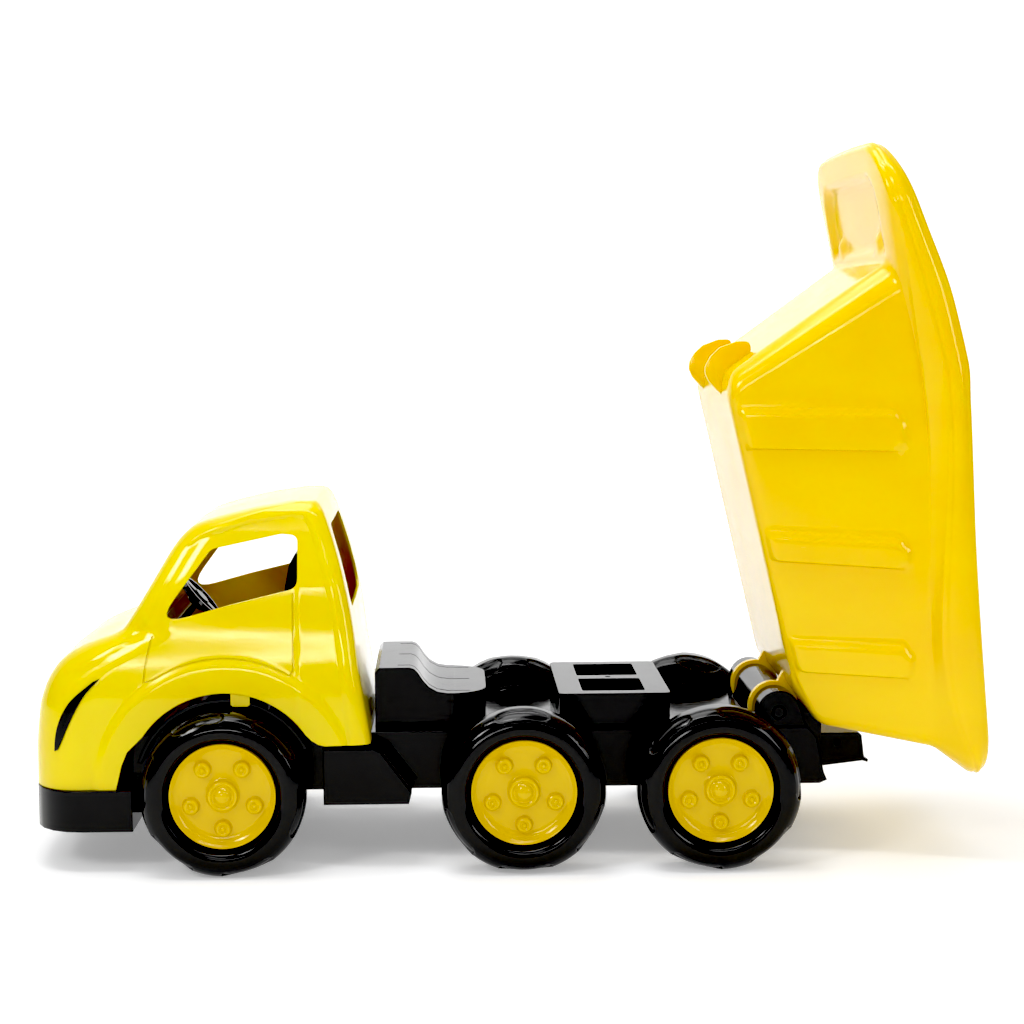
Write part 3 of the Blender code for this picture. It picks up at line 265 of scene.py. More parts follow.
def plate(name, outline, axis, low, high):
    """A flat outline given thickness. Along Y the outline holds (x, z), along X (y, z), along Z (x, y)."""
    turns = {
        "Y": Matrix.Rotation(math.radians(90.0), 4, "X"),
        "X": Matrix(((0, 0, 1, 0), (1, 0, 0, 0), (0, 1, 0, 0), (0, 0, 0, 1))),
        "Z": Matrix.Identity(4),
    }
    curve = bpy.data.curves.new(name, "CURVE")
    curve.dimensions = "2D"
    curve.fill_mode = "BOTH"
    curve.extrude = (high - low) / 2.0 * MM
    spline = curve.splines.new("POLY")
    spline.points.add(len(outline) - 1)
    for point, (across, up) in zip(spline.points, outline):
        point.co = (across * MM, up * MM, 0.0, 1.0)
    spline.use_cyclic_u = True
    guide = new_object(name + "_outline", curve)
    graph = bpy.context.evaluated_depsgraph_get()
    solid = bpy.data.meshes.new_from_object(guide.evaluated_get(graph))
    bpy.data.objects.remove(guide, do_unlink=True)
    shift = Vector((0.0, 0.0, 0.0))
    shift["XYZ".index(axis)] = (low + high) / 2.0 * MM
    solid.transform(Matrix.Translation(shift) @ turns[axis])
    weld(solid)
    return new_object(name, solid)


def boolean(obj, tool, operation):
    step = obj.modifiers.new(tool.name, "BOOLEAN")
    step.solver = "EXACT"
    step.operation = operation
    step.object = tool


def arc(centre, radius, start, end, steps):
    """Points along an arc, between two angles in degrees."""
    points = []
    for step in range(steps + 1):
        angle = math.radians(start + (end - start) * step / steps)
        points.append((centre[0] + radius * math.cos(angle), centre[1] + radius * math.sin(angle)))
    return points


def rounded(outline, radius, steps=6):
    """A closed outline with its corners rounded."""
    points = []
    count = len(outline)
    for index in range(count):
        corner = Vector(outline[index])
        before = Vector(outline[index - 1]) - corner
        after = Vector(outline[(index + 1) % count]) - corner
        reach = radius / math.tan(before.angle(after) / 2.0)
        reach = min(reach, before.length * 0.45, after.length * 0.45)
        first = corner + before.normalized() * reach
        last = corner + after.normalized() * reach
        for step in range(steps + 1):
            t = step / steps
            points.append(tuple(first * (1 - t) ** 2 + corner * 2 * t * (1 - t) + last * t**2))
    return points


def band(points, width):
    """A thin strip of even width along an open line."""
    left = []
    right = []
    for index, point in enumerate(points):
        after = Vector(points[min(index + 1, len(points) - 1)])
        before = Vector(points[max(index - 1, 0)])
        along = (after - before).normalized()
        out = Vector((-along.y, along.x)) * width / 2.0
        left.append(tuple(Vector(point) + out))
        right.append(tuple(Vector(point) - out))
    return left + right[::-1]


def ease(value, start, end):
    """0 at start, 1 at end, smooth between."""
    t = min(max((value - start) / (end - start), 0.0), 1.0)
    return t * t * (3.0 - 2.0 * t)


def smooth_lookup(points, value):
    """Reading of (value, result) pairs along a smooth line that never overshoots them."""
    if value <= points[0][0]:
        return points[0][1]
    if value >= points[-1][0]:
        return points[-1][1]
    index = 0
    while points[index + 1][0] < value:
        index += 1

    def slope(at):
        return (points[at + 1][1] - points[at][1]) / (points[at + 1][0] - points[at][0])

    def tangent(at):
        if at == 0:
            return slope(0)
        if at == len(points) - 1:
            return slope(at - 1)
        before, after = slope(at - 1), slope(at)
        return 0.0 if before * after <= 0.0 else 2.0 * before * after / (before + after)

    (x0, y0), (x1, y1) = points[index], points[index + 1]
    span = x1 - x0
    t = (value - x0) / span
    m0, m1 = tangent(index) * span, tangent(index + 1) * span
    return (
        (2 * t**3 - 3 * t**2 + 1) * y0
        + (t**3 - 2 * t**2 + t) * m0
        + (3 * t**2 - 2 * t**3) * y1
        + (t**3 - t**2) * m1
    )


def inside(point, outline):
    """How far a point lies inside a closed outline, negative outside."""
    x, z = point
    nearest = math.inf
    within = False
    for (ax, az), (bx, bz) in zip(outline, outline[1:] + outline[:1]):
        dx, dz = bx - ax, bz - az
        t = min(max(((x - ax) * dx + (z - az) * dz) / (dx * dx + dz * dz), 0.0), 1.0)
        nearest = min(nearest, math.hypot(x - ax - t * dx, z - az - t * dz))
        if (az > z) != (bz > z) and x < (bx - ax) * (z - az) / (bz - az) + ax:
            within = not within
    return nearest if within else -nearest


def dress(obj, slot, body, *nodes):
    """Gives a piece its material and its body, and hides the CAD nodes it stands for."""
    obj.data.materials.clear()
    obj.data.materials.append(SKINS[slot])
    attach(obj, body)
    if nodes:
        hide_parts(*nodes)


# ---------------------------------------------------------------- cab

# each line of the cab's form is (height, value)
CAB_FRONT = (
    (72.0, -438.2), (104.0, -437.8), (143.0, -434.2), (165.0, -427.5), (180.0, -418.5), (191.0, -407.0),
    (199.0, -393.0), (205.0, -378.0), (210.0, -364.0), (215.0, -356.0), (222.0, -351.0), (236.0, -342.0),
    (259.0, -328.0), (287.0, -311.0), (299.0, -301.0), (307.0, -290.0), (313.0, -272.0), (318.0, -252.0),
    (322.0, -234.0), (325.0, -214.0), (327.0, -204.0),
)
CAB_REAR = (
    (72.0, -131.0), (112.0, -135.5), (171.0, -145.0), (225.0, -152.0), (313.0, -175.0), (325.0, -182.0),
    (327.0, -186.0),
)
CAB_WIDTH = (
    (72.0, 128.6), (150.0, 128.6), (180.0, 126.0), (215.0, 120.0), (252.0, 116.0), (287.0, 107.0),
    (307.0, 101.0), (318.0, 96.0), (325.0, 87.0), (327.0, 78.0),
)
CAB_CORNER_X = (
    (72.0, 48.0), (165.0, 48.0), (199.0, 62.0), (210.0, 52.0), (236.0, 34.0), (299.0, 34.0), (327.0, 10.0),
)
CAB_CORNER_Y = ((72.0, 48.0), (165.0, 44.0), (199.0, 34.0), (215.0, 26.0), (287.0, 24.0), (327.0, 20.0))
CAB_BOTTOM = 74.0
CAB_ROOF = 327.0
CAB_WALL = 2.6
FRONT_BOW = 2.0
REAR_BOW = 0.8
REAR_CORNER_X = 17.0
REAR_CORNER_Y = 9.0
ROOF_CROWN = 0.6
ARCH_RADIUS = 87.0
FLARE_RADIUS = 112.0

# the side panel stands in a little from the hood, the windscreen pillar, the roof rail and the rear pillar
PANEL_LINE = [
    (-425.0, 168.0), (-400.0, 178.0), (-377.0, 189.0), (-355.0, 203.0), (-337.0, 221.0), (-318.0, 256.0),
    (-299.0, 288.0), (-286.0, 297.0), (-250.0, 308.0), (-204.0, 315.5), (-194.0, 313.5), (-188.0, 306.0),
    (-171.0, 250.0), (-162.0, 197.0), (-157.0, 150.0), (-153.0, 60.0), (-460.0, 60.0), (-460.0, 150.0),
]
PANEL_DEPTH = 2.4
FLARE_HEIGHT = 2.3
BELT_HEIGHT = 0.8
# the arch and side window cutters reach past both sides of the cab
CUT_HALF_WIDTH = 220.0
DOOR_GAP = 1.5
DOOR_GAP_DEPTH = 0.9


def cab_relief(x, z):
    """How far the side of the cab stands out from its plain form."""
    within = inside((x, z), PANEL_LINE)
    panel = ease(within, -1.9, 1.9) * ease(x, -418.0, -380.0) * PANEL_DEPTH
    distance = math.hypot(x - FRONT_AXLE_X, z - AXLE_Z)
    flare = ease(distance, FLARE_RADIUS + 7.0, FLARE_RADIUS - 2.0) * FLARE_HEIGHT
    belt = ease(z, 262.0, 252.0) * ease(x, -203.0, -197.0) * BELT_HEIGHT
    return flare + belt - panel


def cab_ring(z, shrink=0.0):
    """Half of the plan of the cab at one height, from the middle of the front to the middle of the rear."""
    front = smooth_lookup(CAB_FRONT, z) + shrink
    rear = smooth_lookup(CAB_REAR, z) - shrink
    width = smooth_lookup(CAB_WIDTH, z) - shrink
    corner_x = min(smooth_lookup(CAB_CORNER_X, z), (rear - front) * 0.42)
    corner_y = smooth_lookup(CAB_CORNER_Y, z)
    back_x = min(REAR_CORNER_X, (rear - front) * 0.3)
    back_y = REAR_CORNER_Y
    ring = []
    front_steps = 14
    for step in range(front_steps):
        t = step / front_steps
        ring.append((front - FRONT_BOW * (1.0 - t) ** 1.5, (width - corner_y) * t))
    corner_steps = 14
    for step in range(corner_steps + 1):
        angle = math.radians(90.0 * step / corner_steps)
        across = width - corner_y + corner_y * math.sin(angle)
        ring.append((front + corner_x * (1.0 - math.cos(angle)), across))
    start = front + corner_x
    end = rear - back_x
    side_steps = 118
    for step in range(1, side_steps):
        ring.append((start + (end - start) * step / side_steps, width))
    rear_steps = 8
    for step in range(rear_steps + 1):
        angle = math.radians(90.0 * step / rear_steps)
        ring.append((end + back_x * math.sin(angle), width - back_y + back_y * math.cos(angle)))
    middle_steps = 10
    for step in range(1, middle_steps + 1):
        t = step / middle_steps
        ring.append((rear + REAR_BOW * t, (width - back_y) * (1.0 - t)))
    return with_relief(ring, z)


def with_relief(ring, z):
    """The ring with the relief of the cab's side worked into it, as points (x, y, z)."""
    shaped = []
    for index, (x, y) in enumerate(ring):
        before = Vector(ring[max(index - 1, 0)])
        after = Vector(ring[min(index + 1, len(ring) - 1)])
        along = (after - before).normalized()
        relief = cab_relief(x, z) * ease(abs(along.x), 0.35, 0.95)
        shaped.append((x - along.y * relief, y + along.x * relief, z))
    shaped[0] = (shaped[0][0], 0.0, z)
    shaped[-1] = (shaped[-1][0], 0.0, z)
    return shaped


def cab_heights():
    """Heights of the rings, closer together towards the roof."""
    heights = []
    z = CAB_BOTTOM
    while z < CAB_ROOF - 0.4:
        heights.append(z)
        z += 2.6 if z < 190.0 else (2.0 if z < 296.0 else (1.5 if z < 316.0 else 1.0))
    return heights + [CAB_ROOF]


def cab_form(name, shrink=0.0):
    """The whole outer skin of the cab, open below, with a slightly crowned roof."""
    rings = [cab_ring(z, shrink) for z in cab_heights()]
    roof = rings[-1]
    middle = (roof[0][0] + roof[-1][0]) / 2.0
    rings[-1] = [(x, y, CAB_ROOF - ROOF_CROWN - shrink) for x, y, _ in roof]
    roof_steps = 8
    for step in range(1, roof_steps + 1):
        part = 1.0 - step / roof_steps
        rise = CAB_ROOF - ROOF_CROWN * part**2 - shrink
        rings.append([(middle + (x - middle) * part, y * part, rise) for x, y, _ in roof])
    rows = [[(origin_x + x * MM, -y * MM, z * MM) for x, y, z in ring] for ring in rings]
    form = grid(name, rows)
    mirrored(form)
    return form


def door_line():
    """The gap round the door, from the windscreen pillar over the flare to the window."""
    line = [(-328.0, 210.0), (-331.5, 196.0), (-334.0, 184.0), (-335.5, 170.0)]
    line += arc((FRONT_AXLE_X, AXLE_Z), 117.0, 125.0, 60.0, 24)[1:]
    line += [(-203.5, 180.0), (-203.5, 216.0), (-203.5, 247.0)]
    return line


def cab_plate(name, outline, axis, low, high):
    """A plate drawn in the cab's own lengths and moved to its place."""
    shape = plate(name, outline, axis, low, high)
    shape.data.transform(Matrix.Translation((origin_x, 0.0, 0.0)))
    return shape


def cab_cutters():
    """The wheel arches, the windows and the room for the chassis at the rear of the cab."""
    arch_line = [(-366.0, 60.0), (-361.5, 74.0), (-356.0, 96.0), (-351.0, 108.0)]
    arch_line += arc((FRONT_AXLE_X, AXLE_Z), ARCH_RADIUS, 146.0, 34.0, 40)
    arch_line += [(-187.5, 116.5), (-182.0, 113.2), (-176.0, 111.6), (-150.0, 112.2)]
    arch_line += [(-90.0, 112.2), (-90.0, 60.0)]
    window_line = [(-326.0, 219.0), (-262.0, 236.5), (-199.5, 251.5), (-199.5, 297.5)]
    window_line = rounded(window_line + [(-214.0, 298.8), (-276.0, 286.0)], 11.0)
    screen_line = rounded([(-78.0, 227.0), (78.0, 227.0), (73.0, 294.0), (-73.0, 294.0)], 15.0)
    rear_line = rounded([(-86.0, 229.0), (86.0, 229.0), (71.0, 304.0), (-71.0, 304.0)], 15.0)
    spine_line = [(-200.0, 60.0), (-90.0, 60.0), (-90.0, 117.3), (-200.0, 117.3)]
    return [
        cab_plate("arch", arch_line, "Y", -CUT_HALF_WIDTH, CUT_HALF_WIDTH),
        cab_plate("side_windows", window_line, "Y", -CUT_HALF_WIDTH, CUT_HALF_WIDTH),
        cab_plate("windscreen", screen_line, "X", -430.0, -268.0),
        cab_plate("rear_window", rear_line, "X", -214.0, -90.0),
        cab_plate("spine", spine_line, "Y", -98.0, 98.0),
    ]


def door_groove():
    """The part of the door gap's band outside a slightly smaller cab, and that smaller cab."""
    groove = cab_plate("door_gap", band(door_line(), DOOR_GAP), "Y", -180.0, 180.0)
    core = cab_form("cab_core", DOOR_GAP_DEPTH)
    thickened(core, 40.0)
    boolean(groove, core, "DIFFERENCE")
    return groove, core


def clip_tab(side, direction):
    """The small tab on the cab's side over the front tyre."""
    line = [(-259.0, 165.0), (-259.0, 149.5), (-257.0, 147.6)]
    line += [(-244.0, 147.6), (-242.0, 149.5), (-242.0, 165.0)]
    return cab_plate("clip_" + side, line, "Y", *sorted((direction * 124.4, direction * 126.8)))


def make_cab():
    cab = cab_form("cab_body")
    thickened(cab, CAB_WALL, even=True)
    tools = cab_cutters()
    for cutter in tools:
        boolean(cab, cutter, "DIFFERENCE")
    groove, core = door_groove()
    boolean(cab, groove, "DIFFERENCE")
    for side, direction in SIDES:
        clip = clip_tab(side, direction)
        boolean(cab, clip, "UNION")
        tools.append(clip)
    bake(cab)
    for tool in tools + [groove, core]:
        bpy.data.objects.remove(tool, do_unlink=True)
    weld(cab.data)
    smooth(cab, 42.0)
    dress(cab, "cab_yellow", "truck", "cab_shell")


def skin_point(x, z):
    """Half width of the cab's skin at a place in the side view."""
    ring = cab_ring(z)
    for (x0, y0, _), (x1, y1, _) in zip(ring, ring[1:]):
        if x0 <= x <= x1 and x1 > x0:
            return y0 + (y1 - y0) * (x - x0) / (x1 - x0)
    return ring[len(ring) // 2][1]


LEAF_X = ((0.0, -377.0), (0.35, -395.0), (0.7, -407.0), (1.0, -414.0))
LEAF_Z = ((0.0, 172.5), (0.35, 155.0), (0.7, 132.0), (1.0, 109.5))
LEAF_HALF = 6.8
LEAF_THICKNESS = 1.1
LEAF_STEPS = 40
LEAF_COLUMNS = 9
# the leaf stands this far off the skin
LEAF_GAP = 0.15
NOSE_MIDDLE = Vector((origin_x - 0.3, 0.0, 0.13))


def leaf_rows(direction):
    """Rows across a leaf that lies on the nose, from its upper end down."""
    rows = []
    for step in range(LEAF_STEPS + 1):
        t = step / LEAF_STEPS
        middle_x = smooth_lookup(LEAF_X, t)
        z = smooth_lookup(LEAF_Z, t)
        half = LEAF_HALF * math.sin(math.pi * min(t * 0.86 + 0.10, 1.0)) ** 0.75 + 0.05
        row = []
        for column in range(LEAF_COLUMNS):
            across = half * (column / 4.0 - 1.0)
            x = middle_x + across
            lift = z + half * 0.45 * (column / 4.0 - 1.0)
            row.append((origin_x + x * MM, direction * (skin_point(x, lift) + LEAF_GAP) * MM, lift * MM))
        rows.append(row)
    return rows


def make_leaves():
    """A slim curved leaf on each rounded corner of the nose."""
    for side, direction in SIDES:
        leaf = grid("nose_leaf_" + side, leaf_rows(direction))
        weld(leaf.data)
        for face in leaf.data.polygons:
            if face.normal.dot(face.center - NOSE_MIDDLE) < 0.0:
                face.flip()
        body = leaf.modifiers.new("body", "SOLIDIFY")
        body.thickness = LEAF_THICKNESS * MM
        body.offset = 1.0
        round_off(leaf, 0.4, 50.0)
        smooth(leaf, 60.0)
        dress(leaf, "decal_black", "truck", "nose_trim_" + side)


# ---------------------------------------------------------------- wheels

TYRE_TURNS = (0.0, 17.0, -24.0)
SCOOPS = 6
SCOOP_HALF_ANGLE = 20.0
SCOOP_DEPTH = 2.1
SCOOP_HALF_WIDTH = 10.5
SCOOP_BOW = 3.5
# the scoops on the inner shoulder lie between those on the outer one
OUTER_SCOOP_ANGLE = 12.0
INNER_SCOOP_ANGLE = 42.0
SHOULDER_RADII = (68.0, 72.5)
WHEEL_STEPS = 360


def tyre_line(radius, width):
    """Outer skin of a tyre as (radius, depth), from the hub cap seat over the tread to the inner hub."""
    line = [(9.0, 13.9), (30.0, 13.9), (47.6, 13.9), (48.2, 13.3), (49.4, 8.0), (50.6, 3.9)]
    line += [(52.2, 1.6), (54.6, 0.4), (57.4, 0.0), (60.5, 0.25), (63.4, 1.0), (66.2, 2.4)]
    line += [(68.6, 4.4), (70.6, 6.8), (72.0, 9.4)]
    line += [(radius - 0.25, 12.0), (radius, 15.0), (radius, width / 2.0)]
    line += [(r, width - depth) for r, depth in line[-2:2:-1]]
    line += [(44.0, width - 9.5), (30.0, width - 9.5), (16.0, width - 9.5), (14.0, width - 8.5)]
    line += [(13.2, width - 1.6), (12.4, width - 1.0), (9.0, width - 1.0), (4.4, width - 1.0)]
    return line + [(4.4, 13.9), (9.0, 13.9)]


def denser(line, spacing):
    """The same line with points no further apart than spacing, and each point's distance along it."""
    points = [(*line[0], 0.0)]
    travelled = 0.0
    for (r0, d0), (r1, d1) in zip(line, line[1:]):
        length = math.hypot(r1 - r0, d1 - d0)
        near_shoulder = max(r0, r1) > 53.0
        steps = max(1, math.ceil(length / (spacing if near_shoulder else 9.0)))
        for step in range(1, steps + 1):
            t = step / steps
            points.append((r0 + (r1 - r0) * t, d0 + (d1 - d0) * t, travelled + length * t))
        travelled += length
    return points


def scoop_depth(angle, along, middle_along, offset):
    """Depth of the leaf-shaped scoops at a place on one shoulder. Each leaf is pointed at both ends."""
    pitch = 360.0 / SCOOPS
    place = (angle - offset + pitch / 2.0) % pitch - pitch / 2.0
    share = abs(place) / SCOOP_HALF_ANGLE
    if share >= 1.0:
        return 0.0
    half_width = SCOOP_HALF_WIDTH * (1.0 - share**4) ** 0.6
    bow = SCOOP_BOW * (1.0 - share**2)
    reach = half_width - abs(along - middle_along - bow)
    return SCOOP_DEPTH * ease(reach, 0.0, 1.7)


def middle_of(shoulder):
    """The mean distance along the line of the points of one shoulder."""
    return sum(along for _, _, along in shoulder) / len(shoulder)


def make_tyre_mesh(radius, width):
    """The tyre's skin, turned about Z, with leaf-shaped scoops sunk into both shoulders."""
    profile = denser(tyre_line(radius, width), 1.1)
    smallest, largest = SHOULDER_RADII
    shoulders = [point for point in profile if smallest < point[0] < largest]
    outer_middle = middle_of([point for point in shoulders if point[1] < width / 2.0])
    inner_middle = middle_of([point for point in shoulders if point[1] > width / 2.0])
    rows = []
    for step in range(WHEEL_STEPS):
        angle = 360.0 * step / WHEEL_STEPS
        turn = math.radians(angle)
        row = []
        for index, (r, depth, along) in enumerate(profile):
            before = profile[max(index - 1, 0)]
            after = profile[min(index + 1, len(profile) - 1)]
            tangent = Vector((after[0] - before[0], after[1] - before[1])).normalized()
            sunk = scoop_depth(angle, along, outer_middle, OUTER_SCOOP_ANGLE)
            sunk = max(sunk, scoop_depth(angle, along, inner_middle, INNER_SCOOP_ANGLE))
            near = Vector((r, depth)) - Vector((tangent.y, -tangent.x)) * sunk
            row.append((near.x * math.cos(turn) * MM, near.x * math.sin(turn) * MM, near.y * MM))
        rows.append(row)
    form = grid("tyre_form", rows, wrap=True)
    weld(form.data)
    smooth(form, 58.0)
    mesh = form.data
    bpy.data.objects.remove(form, do_unlink=True)
    return mesh


def revolve(profile, steps):
    """Rows of points from a section of (radius, depth) turned about Z."""
    rows = []
    for step in range(steps):
        turn = math.radians(360.0 * step / steps)
        across, up = math.cos(turn), math.sin(turn)
        rows.append([(r * across * MM, r * up * MM, depth * MM) for r, depth in profile])
    return rows


def cap_line():
    """Section of a hub cap as (radius, depth): a dome on a round boss, a flat dish and a raised rim."""
    front = [(0.0, 3.2), (2.5, 3.4), (4.8, 4.2), (6.6, 5.4), (7.9, 7.0), (8.6, 7.7), (9.6, 7.8), (10.4, 7.0)]
    front += [(11.6, 6.6), (12.6, 6.9), (13.2, 7.8), (13.6, 10.6), (14.4, 11.6), (16.0, 12.0), (26.0, 12.1)]
    front += [(34.0, 12.1), (37.0, 11.9), (39.5, 11.3), (42.0, 10.1), (44.2, 8.2), (45.4, 6.7), (46.1, 6.2)]
    back = [(46.7, 6.4), (47.0, 7.2), (47.0, 13.6), (30.0, 13.6), (14.0, 13.6), (9.6, 13.6)]
    return front + back + [(9.5, 10.0), (6.4, 8.0), (3.0, 5.6), (0.0, 5.2)]


LUG_CIRCLE = 29.3
LUG_COUNT = 5


def lug_line():
    """Section of a false lug nut as (radius, depth)."""
    line = [(0.0, 6.1), (1.3, 6.2), (2.0, 6.8), (2.4, 7.6), (3.3, 7.7), (4.0, 7.0), (5.0, 6.7), (6.0, 6.9)]
    return line + [(6.6, 7.6), (6.9, 9.0), (7.2, 11.0), (8.0, 12.4)]


def make_cap_mesh():
    """One mesh for the cap and its false lug nuts."""
    cage = bmesh.new()

    def take(rows, move=Matrix.Identity(4)):
        part = grid("part", rows, wrap=True)
        weld(part.data)
        part.data.transform(move)
        cage.from_mesh(part.data)
        bpy.data.objects.remove(part, do_unlink=True)

    take(revolve(cap_line(), 128))
    for index in range(LUG_COUNT):
        angle = math.radians(360.0 * index / LUG_COUNT - 90.0)
        spot = (LUG_CIRCLE * math.cos(angle) * MM, LUG_CIRCLE * math.sin(angle) * MM, 0.0)
        take(revolve(lug_line(), 40), Matrix.Translation(spot))
    mesh = bpy.data.meshes.new("cap_form")
    cage.to_mesh(mesh)
    cage.free()
    form = new_object("cap_form", mesh)
    smooth(form, 45.0)
    bpy.data.objects.remove(form, do_unlink=True)
    return mesh


TAB_CIRCLE = 56.0
TAB_COUNT = 4


def make_tab_mesh(width):
    """Snap tabs of the hub cap where they come through the inner wall of the wheel."""
    cage = bmesh.new()
    outline = rounded([(-1.4, -6.5), (1.4, -6.5), (1.4, 6.5), (-1.4, 6.5)], 0.8, 3)
    for index in range(TAB_COUNT):
        tab = plate("tab", outline, "Z", width - 5.0, width - 0.4)
        turn = Matrix.Rotation(math.radians(360.0 / TAB_COUNT * index), 4, "Z")
        tab.data.transform(turn @ Matrix.Translation((TAB_CIRCLE * MM, 0.0, 0.0)))
        cage.from_mesh(tab.data)
        bpy.data.objects.remove(tab, do_unlink=True)
    mesh = bpy.data.meshes.new("tab_form")
    cage.to_mesh(mesh)
    cage.free()
    return mesh


def make_wheels():
    """A tyre, a hub cap and the cap's snap tabs on each wheel body. An axle's two tyres share a mesh."""
    low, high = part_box("wheel_front_left")
    radius = (high.z - low.z) / 2.0 / MM
    width = (high.y - low.y) / MM
    tyre_mesh = make_tyre_mesh(radius, width)
    cap_mesh = make_cap_mesh()
    tab_mesh = make_tab_mesh(width)
    for axle, turn in zip(AXLES, TYRE_TURNS):
        turned_mesh = tyre_mesh.copy()
        turned_mesh.transform(Matrix.Rotation(math.radians(turn), 4, "Z"))
        for side, direction in SIDES:
            label = "%s_%s" % (axle, side)
            low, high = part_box("wheel_" + label)
            outer_y = low.y if direction < 0.0 else high.y
            place = Matrix.Translation(((low.x + high.x) / 2.0, outer_y, (low.z + high.z) / 2.0))
            place = place @ Matrix.Rotation(math.radians(90.0 * direction), 4, "X")
            tyre = new_object("tyre_" + label, turned_mesh)
            tyre.matrix_world = place
            dress(tyre, "wheel_black", "wheel_body_" + label, "wheel_" + label)
            cap = new_object("cap_" + label, cap_mesh)
            cap.matrix_world = place @ Matrix.Rotation(math.pi if direction < 0.0 else 0.0, 4, "Z")
            dress(cap, "hub_cap_yellow", "wheel_body_" + label, "hub_cap_" + label)
            tabs = new_object("cap_tabs_" + label, tab_mesh)
            tabs.matrix_world = place @ Matrix.Rotation(math.radians(90.0), 4, "Z")
            dress(tabs, "hub_cap_yellow", "wheel_body_" + label)


# ---------------------------------------------------------------- bed

RAISED_ANGLE = 77.0
BED_FLOOR = 146.0
BED_SLANT = 0.235
FLOOR_HALF_WIDTH = 118.0
WALL_TOP_HALF_WIDTH = 142.0
RIM_HALF_WIDTH = 157.3
RIM_CROWN = 2.0
BED_WALL = 3.0
ARM_Y = 57.0
ARM_RADIUS = 23.2
ARM_THICKNESS = 8.0
FOOT_Y = 61.0
FOOT_THICKNESS = 5.0
PIN_BORE_RADIUS = 3.3
RIM_FRONT = -245.0
RIM_REAR = 322.5

# the lines of the tub hold (x, height)
RIM_LOW = (
    (-243.0, 310.5), (-205.0, 312.5), (-178.0, 317.0), (-132.0, 322.0), (-45.0, 326.5), (0.0, 322.0),
    (253.0, 272.0), (326.0, 281.0),
)
RIM_HIGH = (
    (-246.0, 327.0), (-210.0, 335.0), (-173.0, 341.0), (-94.0, 351.5), (-42.0, 352.5), (-9.0, 347.5),
    (130.0, 323.5), (320.0, 296.0),
)
HEEL = ((-78.0, 153.0), (-60.0, 151.0), (205.0, 151.0), (250.0, 161.0))
WALL_TOP = (
    (-142.0, 307.0), (-106.0, 310.5), (-45.0, 312.5), (0.0, 307.5), (253.0, 258.0), (289.0, 254.0),
)
WALL_CLIMB = 160.0
# the side runs between its two corners, from SIDE_FRONT to SIDE_REAR at the floor
SIDE_FRONT = -63.0
SIDE_REAR = 235.0
# front and rear edge of each raised rib at the floor: in front a soft ramp, behind a crisp step
RIB_EDGES = ((-48.0, -9.0), (65.0, 94.0), (165.0, 197.0))
RIB_HEIGHT = 3.1
SOFT_RAMP = 8.0
CRISP_RAMP = 1.2
RIB_TOP = 0.93
# rows of points from one ring of the tub to the next, and in each rounded turn between them
HEEL_ROWS = 4
WALL_ROWS = 44
LEDGE_ROWS = 22
BAND_ROWS = 12
TURN_PARTS = (0.2, 0.4, 0.6, 0.8, 1.0)
TURN_ROWS = len(TURN_PARTS)
# a rib starts this many rows below the wall, in the turn of the heel
RIB_LEAD_ROWS = 4
FLOOR_RINGS = 8


def side_columns():
    """Columns along the side of the tub, as (floor position, rib height share, place across the rib)."""
    columns = []
    last = SIDE_FRONT
    for front, rear in RIB_EDGES:
        gap_steps = max(2, round((front - last) / 5.0))
        for step in range(1, gap_steps):
            columns.append((last + (front - last) * step / gap_steps, 0.0, 1.0))
        for t in (0.0, 0.25, 0.5, 0.75, 1.0):
            columns.append((front + SOFT_RAMP * t, ease(t, 0.0, 1.0), -0.97))
        inner = rear - front - SOFT_RAMP - CRISP_RAMP
        for step in range(1, 6):
            columns.append((front + SOFT_RAMP + inner * step / 6.0, 1.0, step / 3.0 - 1.0))
        for t in (0.0, 0.33, 0.66, 1.0):
            columns.append((rear - CRISP_RAMP * (1.0 - t), ease(t, 1.0, 0.0), 0.97))
        last = rear
    return columns + [(last + (SIDE_REAR - last) * step / 8.0, 0.0, 1.0) for step in range(1, 8)]


SIDE_COLUMNS = side_columns()
FRONT_STEPS = 18
CORNER_STEPS = 12
REAR_STEPS = 6


def slanted_place(place, climb):
    """Where a floor position comes to on the wall after a climb, along the slant of the ribs."""
    anchors = [(SIDE_FRONT, -58.0 - 55.0 * climb / WALL_CLIMB)]
    for edge in (edge for pair in RIB_EDGES for edge in pair):
        anchors.append((edge, edge + climb * BED_SLANT * (0.8 if edge > 150.0 else 1.0)))
    anchors.append((SIDE_REAR, 238.0 + 37.0 * climb / WALL_CLIMB))
    for (start, low), (end, high) in zip(anchors, anchors[1:]):
        if place <= end:
            return low + (high - low) * (place - start) / (end - start)
    return anchors[-1][1]


